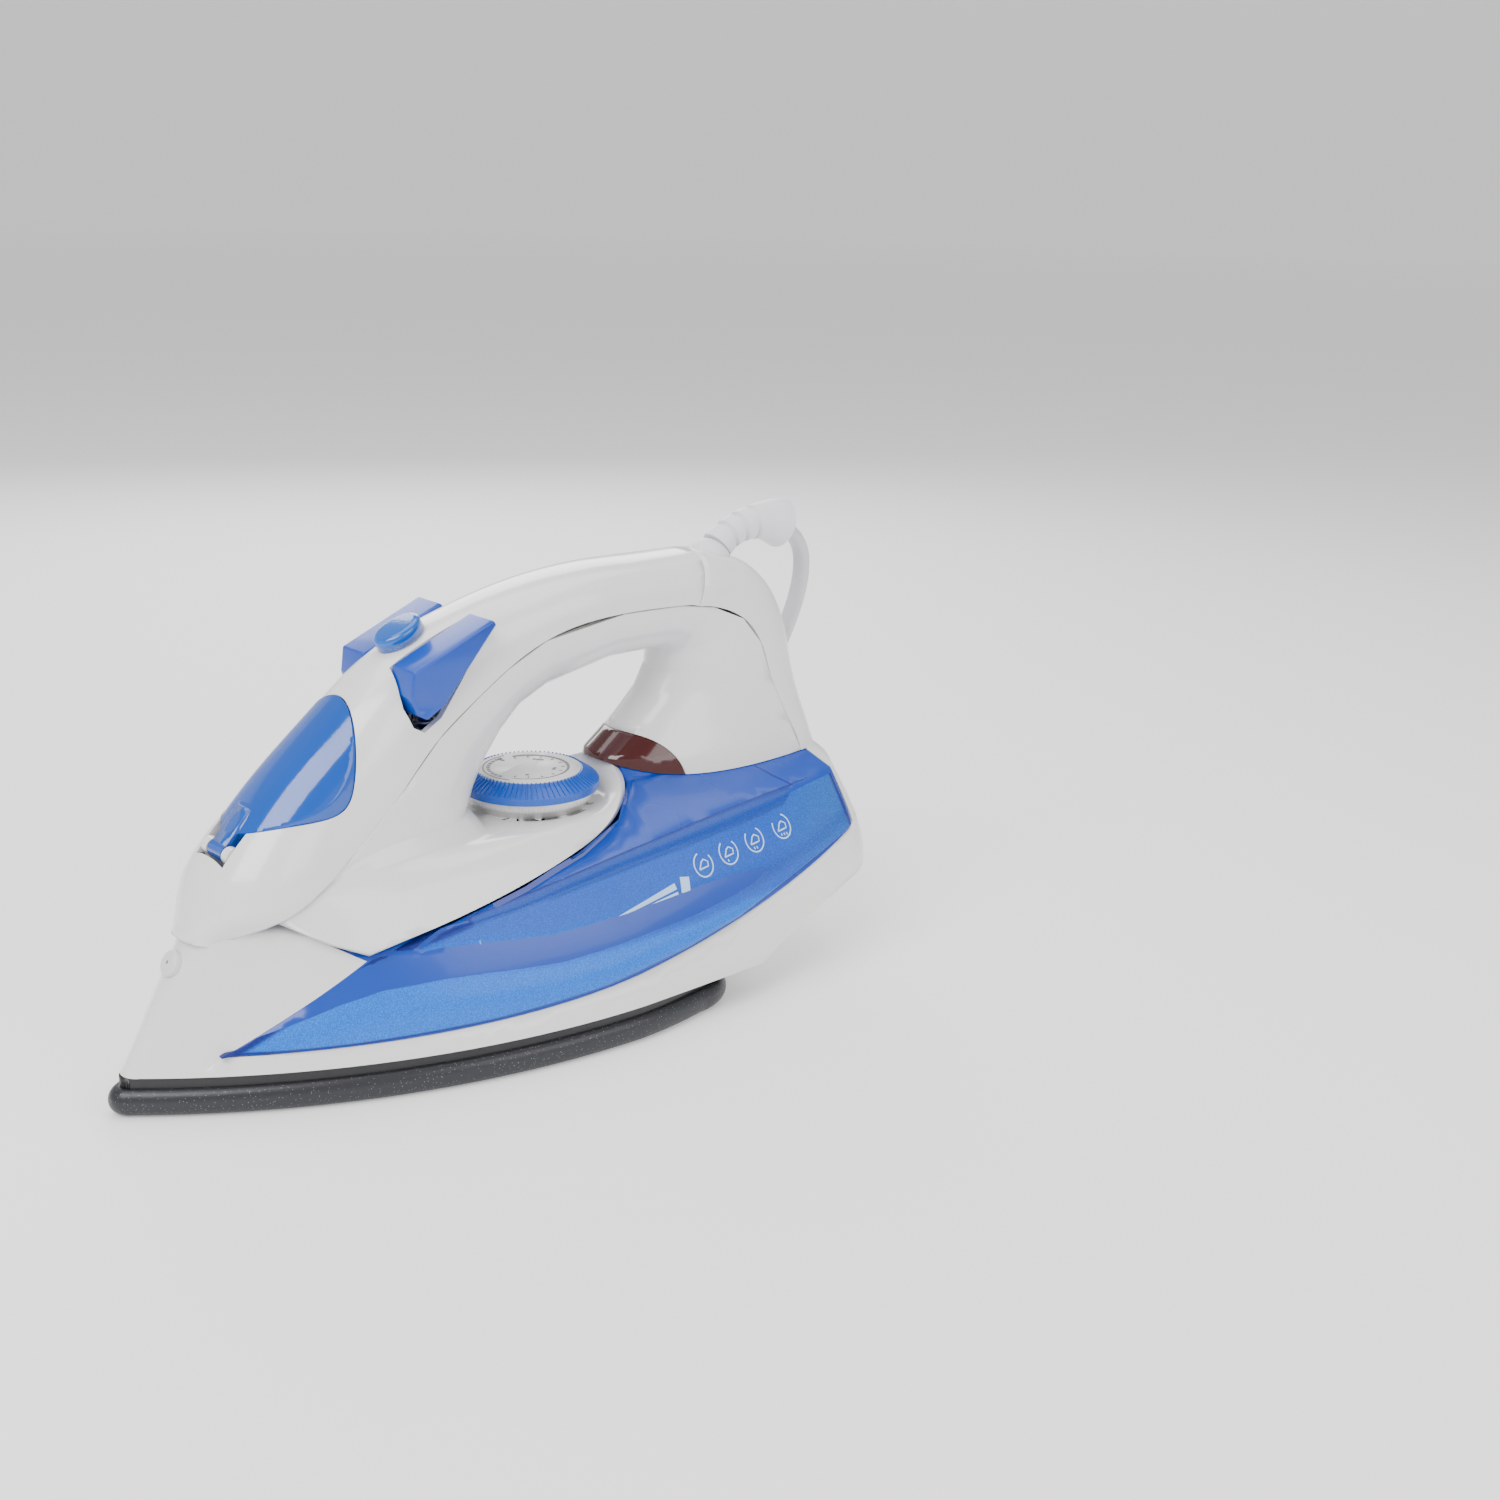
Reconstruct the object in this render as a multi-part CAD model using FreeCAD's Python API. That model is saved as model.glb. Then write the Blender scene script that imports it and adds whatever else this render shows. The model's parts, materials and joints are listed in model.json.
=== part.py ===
import FreeCAD, Part
import math
import os

# Corded steam iron, millimetres.  Built with y counted from the soleplate's tip towards the
# heel, x across (positive is the burst button's side) and z up from the ironing face; every
# solid is then moved back by half the iron's length, so the origin is under its middle.

V = FreeCAD.Vector

# driving dimensions
iron_length = 262.0
sole_length = 200.0
sole_width = 117.0
widest_at = 148.0
grip_height = 140.0
grip_width = 32.0
wall = 2.4
tank_wall = 2.0
seam_gap = 0.3
rim_height = 8.0
casting_height = 12.0
dial_radius = 22.5
dial_top = 75.5
spindle_radius = 3.0
button_travel = 3.0
slider_travel = 9.0
pump_bore = 4.0
door_length = 50.0
door_width = 37.0
plug_pin_radius = 2.4
plug_pin_pitch = 19.0
cord_radius = 3.0
coil_radius = 42.0
turn_fit = 0.05          # radial clearance of a shaft in its bore
slide_fit = 0.35         # gap round a button or slider

half_sole = sole_width / 2
dial_y = 145.6
skirt_bottom = rim_height + 3.4
rod_y = 101.0            # steam valve's rod
tank_back = 16.5         # tank's rear wall, ahead of the heel
pump_x = 9.6
pump_outer = 4.9
pump_top = 96.0
pump_bottom = 72.0
stem_foot = 90.0
wire_slot = 9.0
filler_y = 64.0
neck_radius = 8.2
neck_bore = 6.8
collar_bottom = 64.3
collar_radius = 20.5
platform_floor = 57.5    # underside of the well that the dial's platform fills
nozzle_at = V(0, 21.4, 41.0)
nozzle_way = V(0, -0.86, 0.5)
nozzle_radius = 3.9
door_middle = V(0, 60.5, 92.0)
door_tilt = 39.2
door_normal = V(0, -math.sin(math.radians(door_tilt)), math.cos(math.radians(door_tilt)))
hinge_at = V(0, 38.6, 71.2)
hinge_radius = 1.3
button_inner = 8.0
button_outer = 20.4
slider_way = V(0, 0.89, 0.456)
ball_radius = 8.6
cord_gap = 0.4           # air between the ball and the shells round it
trunnion_radius = 2.0    # pins the guard swings on
guard_bore = cord_radius + 0.1
door_clear = 0.35        # gap round the door
slider_y = 99.5
slider_top = grip_height - 14.2
slider_base = grip_height - 21.0
rod_foot = casting_height + 3.4
lamp_radius = 2.5
screw_sink = 1.8         # depth of a sole screw's seat below the skirt line
screw_head = 1.0
section_points = 16
grip_row = 9             # row of the handle's inside where the front and the post meet
front_places = [0, 0.6, 1, 2, 3, 4, 5, 6, 7, 8, 9, 9.5]
rear_places = [9.52, 10, 11, 12, 13, 14, 15, 16]
coil_middle = V(-124, 196, 0)
coil_bottom = 1.4
coil_height = 16.6
coil_half = 9.0          # half the width of the wound ring


def back(distance):
    """Station at a distance ahead of the heel."""
    return iron_length - distance


def top(depth):
    """Height at a depth below the crest of the grip."""
    return grip_height - depth


wire_y = back(30.0)
ball_at = V(0, back(42.5), top(6.5))


# ---- helpers ----

def spline(points, closed=False):
    curve = Part.BSplineCurve()
    curve.interpolate(Points=points, PeriodicFlag=closed)
    return curve.toShape()


def polygon(points):
    return Part.makePolygon(points + [points[0]])


def slab(profile, half=90.0):
    """Closed y-z outline, straight or with a spline edge, swept right across the iron."""
    wire = profile if isinstance(profile, Part.Wire) else polygon([V(-half, y, z) for y, z in profile])
    return Part.Face(wire).extrude(V(2 * half, 0, 0))


def cylinder(radius, height, base, axis=V(0, 0, 1)):
    return Part.makeCylinder(radius, height, base, axis)


def cylinder_x(radius, x0, x1, y, z):
    return Part.makeCylinder(radius, x1 - x0, V(x0, y, z), V(1, 0, 0))


def box(x0, x1, y0, y1, z0, z1):
    return Part.makeBox(x1 - x0, y1 - y0, z1 - z0, V(x0, y0, z0))


def ring(outer, inner, height, base, axis=V(0, 0, 1)):
    return cylinder(outer, height, base, axis).cut(cylinder(inner, height, base, axis))


def rounded(shape, radius, pick=None):
    edges = [e for e in shape.Edges if pick is None or pick(e)]
    return shape.makeFillet(radius, edges)


def solids_over(shape, volume):
    keep = [s for s in shape.Solids if s.Volume > volume]
    return keep[0] if len(keep) == 1 else Part.makeCompound(keep)


def skin(rows):
    """Solid through rows of points, each row a flat closed ring, closed by two flat ends."""
    surface = Part.BSplineSurface()
    surface.interpolate(rows)
    ends = []
    for side in surface.bounds()[:2]:
        ends.append(Part.Face(Part.Wire([surface.uIso(side).toShape()])))
    shell = Part.Shell([surface.toShape()] + ends)
    shell.sewShape()
    solid = Part.Solid(shell)
    if solid.Volume < 0:
        solid.reverse()
    return solid


def sheet(rows, thickness):
    """Solid wall over a grid of points, thickness measured inwards from its outer face."""
    inner = []
    for i, row in enumerate(rows):
        low = rows[max(i - 1, 0)]
        high = rows[min(i + 1, len(rows) - 1)]
        line = []
        for j, p in enumerate(row):
            along = high[j] - low[j]
            across = row[min(j + 1, len(row) - 1)] - row[max(j - 1, 0)]
            out = along.cross(across).normalize()
            line.append(p - out * thickness)
        inner.append(line)
    faces = []
    borders = []
    for grid in (rows, inner):
        surface = Part.BSplineSurface()
        surface.interpolate(grid)
        u0, u1, v0, v1 = surface.bounds()
        borders.append([surface.uIso(u0), surface.uIso(u1), surface.vIso(v0), surface.vIso(v1)])
        faces.append(surface.toShape())
    for outer_edge, inner_edge in zip(*borders):
        faces.append(Part.makeRuledSurface(outer_edge.toShape(), inner_edge.toShape()))
    shell = Part.Shell(faces)
    shell.sewShape()
    solid = Part.Solid(shell)
    if solid.Volume < 0:
        solid.reverse()
    return solid


def strips(rows, thickness):
    """Solid wall like a sheet's, but ruled from row to row, for rows of very different spans."""
    inner = []
    for i, row in enumerate(rows):
        low = rows[max(i - 1, 0)]
        high = rows[min(i + 1, len(rows) - 1)]
        line = []
        for j, p in enumerate(row):
            along = high[j] - low[j]
            across = row[min(j + 1, len(row) - 1)] - row[max(j - 1, 0)]
            line.append(p - along.cross(across).normalize() * thickness)
        inner.append(line)
    faces = []
    curves = [[spline(row) for row in grid] for grid in (rows, inner)]
    for side in curves:
        for a, b in zip(side, side[1:]):
            faces.append(Part.makeRuledSurface(a, b))
    for outer_curve, inner_curve in ((curves[0][0], curves[1][0]), (curves[0][-1], curves[1][-1])):
        faces.append(Part.makeRuledSurface(outer_curve, inner_curve))
    for j in (0, -1):
        for i in range(len(rows) - 1):
            a = Part.LineSegment(rows[i][j], rows[i + 1][j]).toShape()
            b = Part.LineSegment(inner[i][j], inner[i + 1][j]).toShape()
            faces.append(Part.makeRuledSurface(a, b))
    shell = Part.Shell(faces)
    shell.sewShape()
    solid = Part.Solid(shell)
    if solid.Volume < 0:
        solid.reverse()
    return solid


def path_wire(points, radii=None):
    """Straight runs joined by tangent arcs, each arc as large as its two runs allow."""
    edges = []
    start = points[0]
    for i in range(1, len(points) - 1):
        before = points[i] - points[i - 1]
        after = points[i + 1] - points[i]
        turn = before.getAngle(after)
        shorter = min(before.Length, after.Length)
        trim = 0.45 * shorter
        if radii is not None:
            radii.append(trim / math.tan(turn / 2))
        u = V(before).normalize()
        w = V(after).normalize()
        a = points[i] - u * trim
        b = points[i] + w * trim
        centre_way = (w - u).normalize()
        bow = trim * math.tan(turn / 4)
        chord_mid = (a + b) / 2
        mid = chord_mid - centre_way * bow * math.cos(turn / 2)
        edges.append(Part.LineSegment(start, a).toShape())
        edges.append(Part.Arc(a, mid, b).toShape())
        start = b
    edges.append(Part.LineSegment(start, points[-1]).toShape())
    return Part.Wire(edges)


def tube(points, radius, radii=None):
    wire = path_wire(points, radii)
    first = points[1] - points[0]
    circle = Part.Wire([Part.Circle(points[0], first, radius).toShape()])
    return wire.makePipeShell([circle], True, False)


# ---- plan outlines ----

def plan_wire(z, nose, nose_radius, half, rear_half, rear, corner=14.0, bulge=6.0, inset=0.0):
    """Pointed plan outline at height z: nose arc, two swept sides, rear corners and a crowned rear."""
    nose = nose + inset * 1.35
    rear = rear - inset
    half = half - inset
    rear_half = rear_half - inset
    r = max(nose_radius - inset * 0.7, 1.5)
    corner_y = rear - bulge
    tip_y = nose + r * 0.62
    side = math.hypot(half - r, widest_at - tip_y)
    lean = (half - r) / (widest_at - tip_y)
    mid = V((r + half) / 2 + side * lean * 0.235, (tip_y + widest_at) / 2, z)

    def mirror(p):
        return V(-p.x, p.y, p.z)

    p_tip = V(r, tip_y, z)
    p_wide = V(half, widest_at, z)
    p_side = V(rear_half, corner_y - corner, z)
    p_rear = V(rear_half - corner, corner_y, z)
    mid_rear = V((half + rear_half) / 2 + 0.6, (widest_at + corner_y - corner) / 2, z)
    mid_corner = V(rear_half - corner * 0.28, corner_y - corner * 0.3, z)
    edges = [
        Part.Arc(mirror(p_tip), V(0, nose, z), p_tip).toShape(),
        Part.Arc(p_tip, mid, p_wide).toShape(),
        Part.Arc(p_wide, mid_rear, p_side).toShape(),
        Part.Arc(p_side, mid_corner, p_rear).toShape(),
        Part.Arc(p_rear, V(0, rear, z), mirror(p_rear)).toShape(),
        Part.Arc(mirror(p_rear), mirror(mid_corner), mirror(p_side)).toShape(),
        Part.Arc(mirror(p_side), mirror(mid_rear), mirror(p_wide)).toShape(),
        Part.Arc(mirror(p_wide), mirror(mid), mirror(p_tip)).toShape(),
    ]
    return Part.Wire(edges)


def sole_wire(z, inset=0.0):
    return plan_wire(z, 0.0, 5.0, half_sole, half_sole - 3, sole_length, 18.0, 7.0, inset)


def sole_slab(inset, z0, z1):
    return Part.Face(sole_wire(z0, inset)).extrude(V(0, 0, z1 - z0))


# height, nose, nose radius, half width, half width at the heel, heel
hull_levels = [
    (skirt_bottom, 4.1, 5.0, half_sole - 1.0, half_sole - 4.5, iron_length - 0.5),
    (30.0, 15.0, 8.0, half_sole - 6.0, half_sole - 5.5, iron_length),
    (46.0, 24.3, 11.0, half_sole - 13.5, half_sole - 8.5, iron_length),
    (57.0, 30.5, 12.0, half_sole - 19.5, half_sole - 15.0, iron_length - 1.0),
    (70.0, 37.0, 13.0, half_sole - 25.0, half_sole - 24.0, iron_length - 3.0),
    (84.0, 44.0, 13.0, half_sole - 31.0, half_sole - 32.0, iron_length - 5.0),
]


def hull(inset=0.0):
    wires = [plan_wire(z, a, r, h, hr, e, inset=inset) for z, a, r, h, hr, e in hull_levels]
    return Part.makeLoft(wires, True, False)


# station, eaves height, slope in degrees, crown above the slope's top
deck_stations = [
    (0.0, 30.0, 32.0, 3.0),
    (60.0, 38.5, 32.0, 4.0),
    (130.0, 52.5, 32.0, 5.0),
    (165.0, 56.3, 30.0, 5.0),
    (back(12.0), 64.5, 15.0, 3.0),
    (iron_length + 10, 65.5, 13.0, 3.0),
]
eaves_half = 39.0
ridge_half = 17.0


def under_deck(drop=0.0):
    """Everything below the roof-shaped deck."""
    wires = []
    for y, eaves, slope, crown in deck_stations:
        rise = math.tan(math.radians(slope))
        z_out = eaves - (80 - eaves_half) * rise - drop
        z_in = eaves + (eaves_half - ridge_half) * rise - drop
        a = V(-80, y, -60)
        b = V(80, y, -60)
        c = V(80, y, z_out)
        d = V(ridge_half, y, z_in)
        e = V(-ridge_half, y, z_in)
        f = V(-80, y, z_out)
        edges = [
            Part.LineSegment(a, b).toShape(),
            Part.LineSegment(b, c).toShape(),
            Part.LineSegment(c, d).toShape(),
            Part.Arc(d, V(0, y, z_in + crown), e).toShape(),
            Part.LineSegment(e, f).toShape(),
            Part.LineSegment(f, a).toShape(),
        ]
        wires.append(Part.Wire(edges))
    return Part.makeLoft(wires, True, True)


def heel_undercut():
    """The wedge of air under the overhanging heel."""
    return slab([(sole_length - 1, skirt_bottom), (iron_length + 20, 47.0),
                 (iron_length + 20, 0), (sole_length - 1, 0)])


# side-view line between the skirt and the tank
def skirt_line(drop=0.0, reach=40.0):
    heel = back(17.0)
    points = [(24.0, 16.6), (60.0, 16.9), (100.0, 18.0), (135.0, 20.0), (widest_at + 20, 24.0),
              (sole_length - 10, 28.5), (heel, 47.5), (heel + reach, 69.0)]
    return [V(-90, y, z - drop) for y, z in points]


def below_skirt_line(drop=0.0):
    line = skirt_line(drop)
    end = line[-1]
    start = line[0]
    edges = [
        spline(line),
        Part.LineSegment(end, V(-90, end.y, -20)).toShape(),
        Part.LineSegment(V(-90, end.y, -20), V(-90, -20, -20)).toShape(),
        Part.LineSegment(V(-90, -20, -20), V(-90, -20, start.z)).toShape(),
        Part.LineSegment(V(-90, -20, start.z), start).toShape(),
    ]
    return slab(Part.Wire(edges))


# ---- the loop of the handle ----
# half width, seam station and height, lean of the section, reach out to the crest, reach in
loop_stations = [
    (9.0, 31.0, 46.5, 165, 8.0, 8.0),
    (20.0, 44.5, 53.6, 150, 17.5, 30.0),
    (20.5, 68.0, 67.7, 135, 25.5, 38.0),
    (20.0, 86.4, top(55.7), 128, 25.0, 36.0),
    (18.5, 100.5, top(42.4), 122, 24.0, 29.0),
    (17.0, 115.7, top(32.5), 116, 22.0, 23.0),
    (16.3, 126.5, top(26.0), 110, 19.0, 20.5),
    (16.0, 141.6, top(19.1), 102, 15.7, 19.0),
    (16.0, 172.0, top(14.8), 91, 14.7, 17.0),
    (16.0, back(66.5), top(15.4), 86, 15.2, 15.8),
    (16.0, back(52.0), top(17.7), 50, 20.0, 20.0),
    (16.5, back(39.7), top(23.0), 26, 21.0, 28.4),
    (17.5, back(32.5), top(32.0), 12.6, 19.2, 34.3),
    (18.8, back(28.3), top(45.0), 2.7, 18.0, 42.2),
    (21.5, back(22.0), 80.0, -4.4, 16.3, 58.0),
    (24.0, back(18.2), 69.0, -5.3, 15.2, 73.5),
    (26.5, back(15.0), 58.0, -5.4, 14.0, 80.0),
]


def loop_section(station, inset):
    width, y, z, lean, reach_out, reach_in = station
    n = V(0, math.cos(math.radians(lean)), math.sin(math.radians(lean)))
    width = width * grip_width / 32.0 - inset
    points = []
    for i in range(section_points + 1):
        t = 2 * math.pi * (i / section_points - 0.25)
        c = math.cos(t)
        s = math.sin(t)
        reach = (reach_out if s > 0 else reach_in) - inset
        power = 0.82 if s > 0 else 0.9
        x = width * math.copysign(abs(c) ** power, c)
        out = reach * math.copysign(abs(s) ** power, s)
        points.append(V(x, y, z) + n * out)
    points[-1] = points[0]
    return points


def loop(inset=0.0):
    """The whole handle, from the brow over the grip and down the rear post.

    An inset one stops short of the brow's front end and runs on past the post's foot.
    """
    rows = [loop_section(s, inset) for s in loop_stations]
    rows[0] = [p + V(0, 0.9, 0.35) * inset for p in rows[0]]
    rows[-1] = [p + V(0, 0.1, -1.0) * abs(inset) for p in rows[-1]]
    return skin(rows)


def sole_half(y):
    """Half width of the soleplate at a station ahead of its widest place."""
    sweep = (half_sole ** 2 + widest_at ** 2) / (2 * half_sole)
    return half_sole - (sweep - math.sqrt(sweep ** 2 - (widest_at - y) ** 2))


def body_skin(thickness=wall, grow=0.0):
    """Outer skin of the lower body: sides and roof-shaped deck."""
    outside = hull(-grow).common(under_deck(-grow))
    return outside.cut(hull(thickness).common(under_deck(thickness)))


# ---- ironing base ----

def chamber(z0, z1, inset=32.0):
    return sole_slab(inset, z0, z1).common(box(-60, 60, 30, dial_y - 19, z0, z1))


def element_path():
    legs = 21.0
    z = casting_height - 3.2
    return [V(-legs, sole_length - 34, z), V(-legs - 13, 116, z), V(-legs + 2, 66, z), V(-9, 37, z),
            V(9, 37, z), V(legs - 2, 66, z), V(legs + 13, 116, z), V(legs, sole_length - 34, z)]


def soleplate():
    rounding = [(0.0, 2.6), (0.9, 0.9), (2.6, 0.1),
                (rim_height - 2.6, 0.1), (rim_height - 0.9, 0.9), (rim_height, 2.6)]
    rim = Part.makeLoft([sole_wire(z, inset) for z, inset in rounding], True, False)
    casting = sole_slab(11, rim_height - 1, casting_height)
    plate = rim.fuse(casting).cut(chamber(rim_height - 1.5, casting_height + 1))
    for y in (30, 42, 56, 72, 90, 108, 122):
        for share in (-0.66, -0.33, 0.33, 0.66):
            if abs(share) < 0.5 and y < 60:
                continue
            plate = plate.cut(cylinder(1.3, 20, V(share * sole_half(y), y, -1)))
    return plate.cut(heating_element()).removeSplitter()


def heating_element():
    return tube(element_path(), 2.9)


def element_terminals():
    pins = []
    for side in (-1, 1):
        base = V(side * 21.0, sole_length - 31, casting_height)
        pins.append(cylinder(1.9, 5.5, base).fuse(box(base.x - 0.4, base.x + 0.4, base.y - 3, base.y + 3,
                                                      casting_height + 5, casting_height + 9)))
    return Part.makeCompound(pins)


def steam_chamber_cover():
    z = casting_height
    lid = sole_slab(28, z, z + 1.2).common(box(-60, 60, 30, dial_y - 15, z, z + 2))
    lid = lid.cut(cylinder(4.2, 6, V(0, rod_y, z - 1)))
    for x, y in sole_screw_places()[:1]:
        lid = lid.cut(cylinder(2.4, 6, V(x, y, z - 1)))
    return lid


def sole_screw_places():
    return [(0, 52.0), (-16.0, sole_length - 12), (16.0, sole_length - 12)]


def screw_seat(y):
    """Underside of a sole screw's head, sunk in the skirt's roof."""
    line = skirt_line()
    for a, b in zip(line, line[1:]):
        if a.y <= y <= b.y:
            return a.z + (b.z - a.z) * (y - a.y) / (b.y - a.y) - screw_sink
    return casting_height


def thermostat():
    z = casting_height + 0.05
    base = cylinder(12.5, 4.0, V(0, dial_y, z))
    case = cylinder(9.0, 15.0, V(0, dial_y, z))
    tabs = box(-16, 16, dial_y - 2.5, dial_y + 2.5, z + 4.5, z + 5.3)
    tabs = tabs.common(cylinder(14.0, 30, V(0, dial_y, z)))
    return base.fuse(case).fuse(tabs).cut(cylinder(spindle_radius + turn_fit, 9, V(0, dial_y, z + 7)))


def thermal_fuse():
    y = sole_length - 22
    z = casting_height + 2.0
    sleeve = cylinder_x(2.0, -9, 9, y, z)
    return sleeve.fuse(cylinder_x(0.7, -14, 14, y, z))


def heat_shield():
    z = rim_height
    return sole_slab(2.6, z, skirt_bottom - 0.2).cut(sole_slab(8.5, z - 1, z + 6))


# ---- lower body ----

# side view of the seam round the nose cover
nose_seam = [(19.0, 11.0), (27.0, 16.8), (66.0, 40.0), (44.5, 53.4),
             (24.0, 46.8), (-20.0, 46.8), (-20.0, 0.0), (19.0, 0.0)]


def skirt():
    """Side walls, roof under the tank and underside of the heel in one moulding."""
    lifted = heel_undercut()
    lifted.translate(V(0, -1.0, wall + 0.4))
    outside = hull(0.0).common(below_skirt_line(0.15)).cut(heel_undercut())
    inside = hull(wall).common(below_skirt_line(wall + 0.2)).cut(lifted)
    lower = outside.cut(inside).cut(slab(nose_seam))
    lower = lower.cut(cylinder(13.6, 60, V(0, dial_y, 0)))
    lower = lower.cut(cylinder(5.6, 60, V(0, rod_y, 0)))
    lower = lower.cut(cylinder(3.0, 60, V(-pump_x, rod_y, 0)))
    for side in (-1, 1):
        lower = lower.cut(cylinder(3.4, 60, V(side * 21.0, sole_length - 31, 0)))
        lower = lower.cut(cylinder(2.2, 60, V(side * 5.0, wire_y, 0)))
    for x, y in sole_screw_places():
        lower = lower.cut(cylinder(1.9, 60, V(x, y, 0)))
        lower = lower.cut(cylinder(3.3, 20, V(x, y, screw_seat(y))))
    return solids_over(lower, 50.0)


def nose_cover():
    skin_part = body_skin().common(slab(nose_seam))
    skin_part = skin_part.cut(loop(0.0).common(slab([(20, 46.0), (60, 46.0), (60, 90), (20, 90)])))
    skin_part = skin_part.cut(front_crest(wall + seam_gap))
    boss = cylinder(nozzle_radius + 1.8, 7, nozzle_at - nozzle_way * 6.4, nozzle_way).common(hull(0.3))
    skin_part = skin_part.fuse(boss)
    hole = cylinder(nozzle_radius + 0.05, 20, nozzle_at - nozzle_way * 9, nozzle_way)
    return solids_over(skin_part.cut(hole), 50.0)


def spray_nozzle():
    """Round-faced plug in the nose with a fine hole."""
    stem = cylinder(nozzle_radius, 8.8, nozzle_at - nozzle_way * 7.0, nozzle_way)
    stem = rounded(stem, 1.1, lambda e: e.CenterOfMass.y < nozzle_at.y and e.Length > 20)
    return stem.cut(cylinder(0.6, 20, nozzle_at - nozzle_way * 10, nozzle_way))


def tank_front(inset):
    """Everything ahead of the tank's front wall."""
    return slab([(-30, -10), (23 + inset, -10), (27.3 + 2 * inset, 17.0), (50 + 2 * inset, 30.2),
                 (52 + inset, 90), (-30, 90)])


def tank_region(inset):
    """Space of the tank, less its walls when inset is set."""
    lean = 0.5 * inset
    space = hull(inset + 0.02).common(under_deck(inset)).cut(below_skirt_line(-inset - 0.15))
    rear_low = back(tank_back) - inset
    rear_high = back(tank_back - 2) - inset
    rear = slab([(rear_low, -10), (rear_low, 46), (rear_high, 90), (iron_length + 20, 90), (iron_length + 20, -10)])
    slot = box(-wire_slot - inset, wire_slot + inset, wire_y - 8 - inset, iron_length, 0, 90)
    well = cylinder(14.2 + inset, casting_height + 20 + lean, V(0, dial_y, 0))
    shaft = cylinder(4.4 + inset, 90, V(0, dial_y, 0))
    return space.cut(tank_front(inset)).cut(rear).cut(slot).cut(well).cut(shaft).cut(platform_well(inset))


def water_tank():
    cavity = tank_region(tank_wall)
    seam_zone = slab(nose_seam).common(hull(-1.0).cut(hull(wall + 0.3)))
    tank = tank_region(0.0).cut(seam_zone).cut(cavity)
    tank = tank.cut(cylinder(4.2, 90, V(0, rod_y, 30)))
    tank = tank.cut(cylinder(2.6, 90, V(pump_x, rod_y, 30)))
    tank = tank.cut(cylinder(3.0, 90, V(-pump_x, rod_y, 0)))
    tank = tank.cut(cylinder(5.1, 40, V(0, rod_y, 0)))
    tank = tank.cut(cylinder(neck_radius + 0.1, 60, V(0, filler_y, 35)))
    return solids_over(tank, 50.0)


# ---- handle shells ----

def deck_height(x, y):
    """Height of the deck over a point in plan."""
    for low, high in zip(deck_stations, deck_stations[1:]):
        if low[0] <= y <= high[0]:
            share = (y - low[0]) / (high[0] - low[0])
            eaves, slope, crown = [a + (b - a) * share for a, b in zip(low[1:], high[1:])]
            rise = math.tan(math.radians(slope))
            ridge = eaves + (eaves_half - ridge_half) * rise
            if abs(x) >= ridge_half:
                return ridge - (abs(x) - ridge_half) * rise
            return ridge + crown * (1 - (x / ridge_half) ** 2)
    return high[1]


# edge of the dial's platform on the deck, from the nose seam round to its rear, right half
platform_edge = [(33.5, 66.0), (35.5, 92.0), (35.5, 118.0), (33.0, 140.0),
                 (27.5, 157.5), (15.5, 170.5), (0.0, 174.0)]


def mirrored(points):
    return points + [V(-p.x, p.y, p.z) for p in points[-2::-1]]


def platform_well(grow=0.0):
    """Well in the deck that the platform fills, as deep as its wall where the deck is low."""
    half = []
    for x, y in platform_edge:
        rear = min(max((y - 140.0) / 20.0, 0.0), 1.0)
        spread = seam_gap + grow + 0.3
        half.append(V(x + spread if x > 0 else 0.0, y + rear * (wall + spread), 25.0))
    half = [V(half[0].x, 58.0, 25.0)] + half
    column_of_air = Part.Face(polygon(mirrored(half))).extrude(V(0, 0, 120))
    return column_of_air.cut(under_deck(wall + 1.2 + grow).common(under_height(platform_floor - grow)))


def ring_row(width, y, z, lean, reach, inner):
    """Half a ring of the handle, from its right seam round the crest or the inside to its left seam."""
    n = V(0, math.cos(math.radians(lean)), math.sin(math.radians(lean)))
    power = 0.9 if inner else 0.82
    way = -1 if inner else 1
    row = []
    for j in range(13):
        t = math.pi * j / 12
        c = math.cos(t)
        s = abs(math.sin(t))
        x = width * math.copysign(abs(c) ** power, c) if abs(c) > 1e-6 else 0.0
        gap = 0.0 if inner else seam_gap
        out = way * (reach * s ** power + gap) if s > 1e-6 else gap
        row.append(V(x, y, z) + n * out)
    return row


def station_between(place):
    i = min(int(place), len(loop_stations) - 2)
    share = place - i
    return [a + (b - a) * share for a, b in zip(loop_stations[i], loop_stations[i + 1])]


def crest_rows(places):
    rows = []
    for place in places:
        width, y, z, lean, reach, _ = station_between(place)
        rows.append(ring_row(width * grip_width / 32.0, y, z, lean, reach, False))
    return rows


def through(half):
    """Right half of a row given by seven corner points, made into a full row of thirteen."""
    return mirrored([V(x, y, z) for x, y, z in half])


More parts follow.
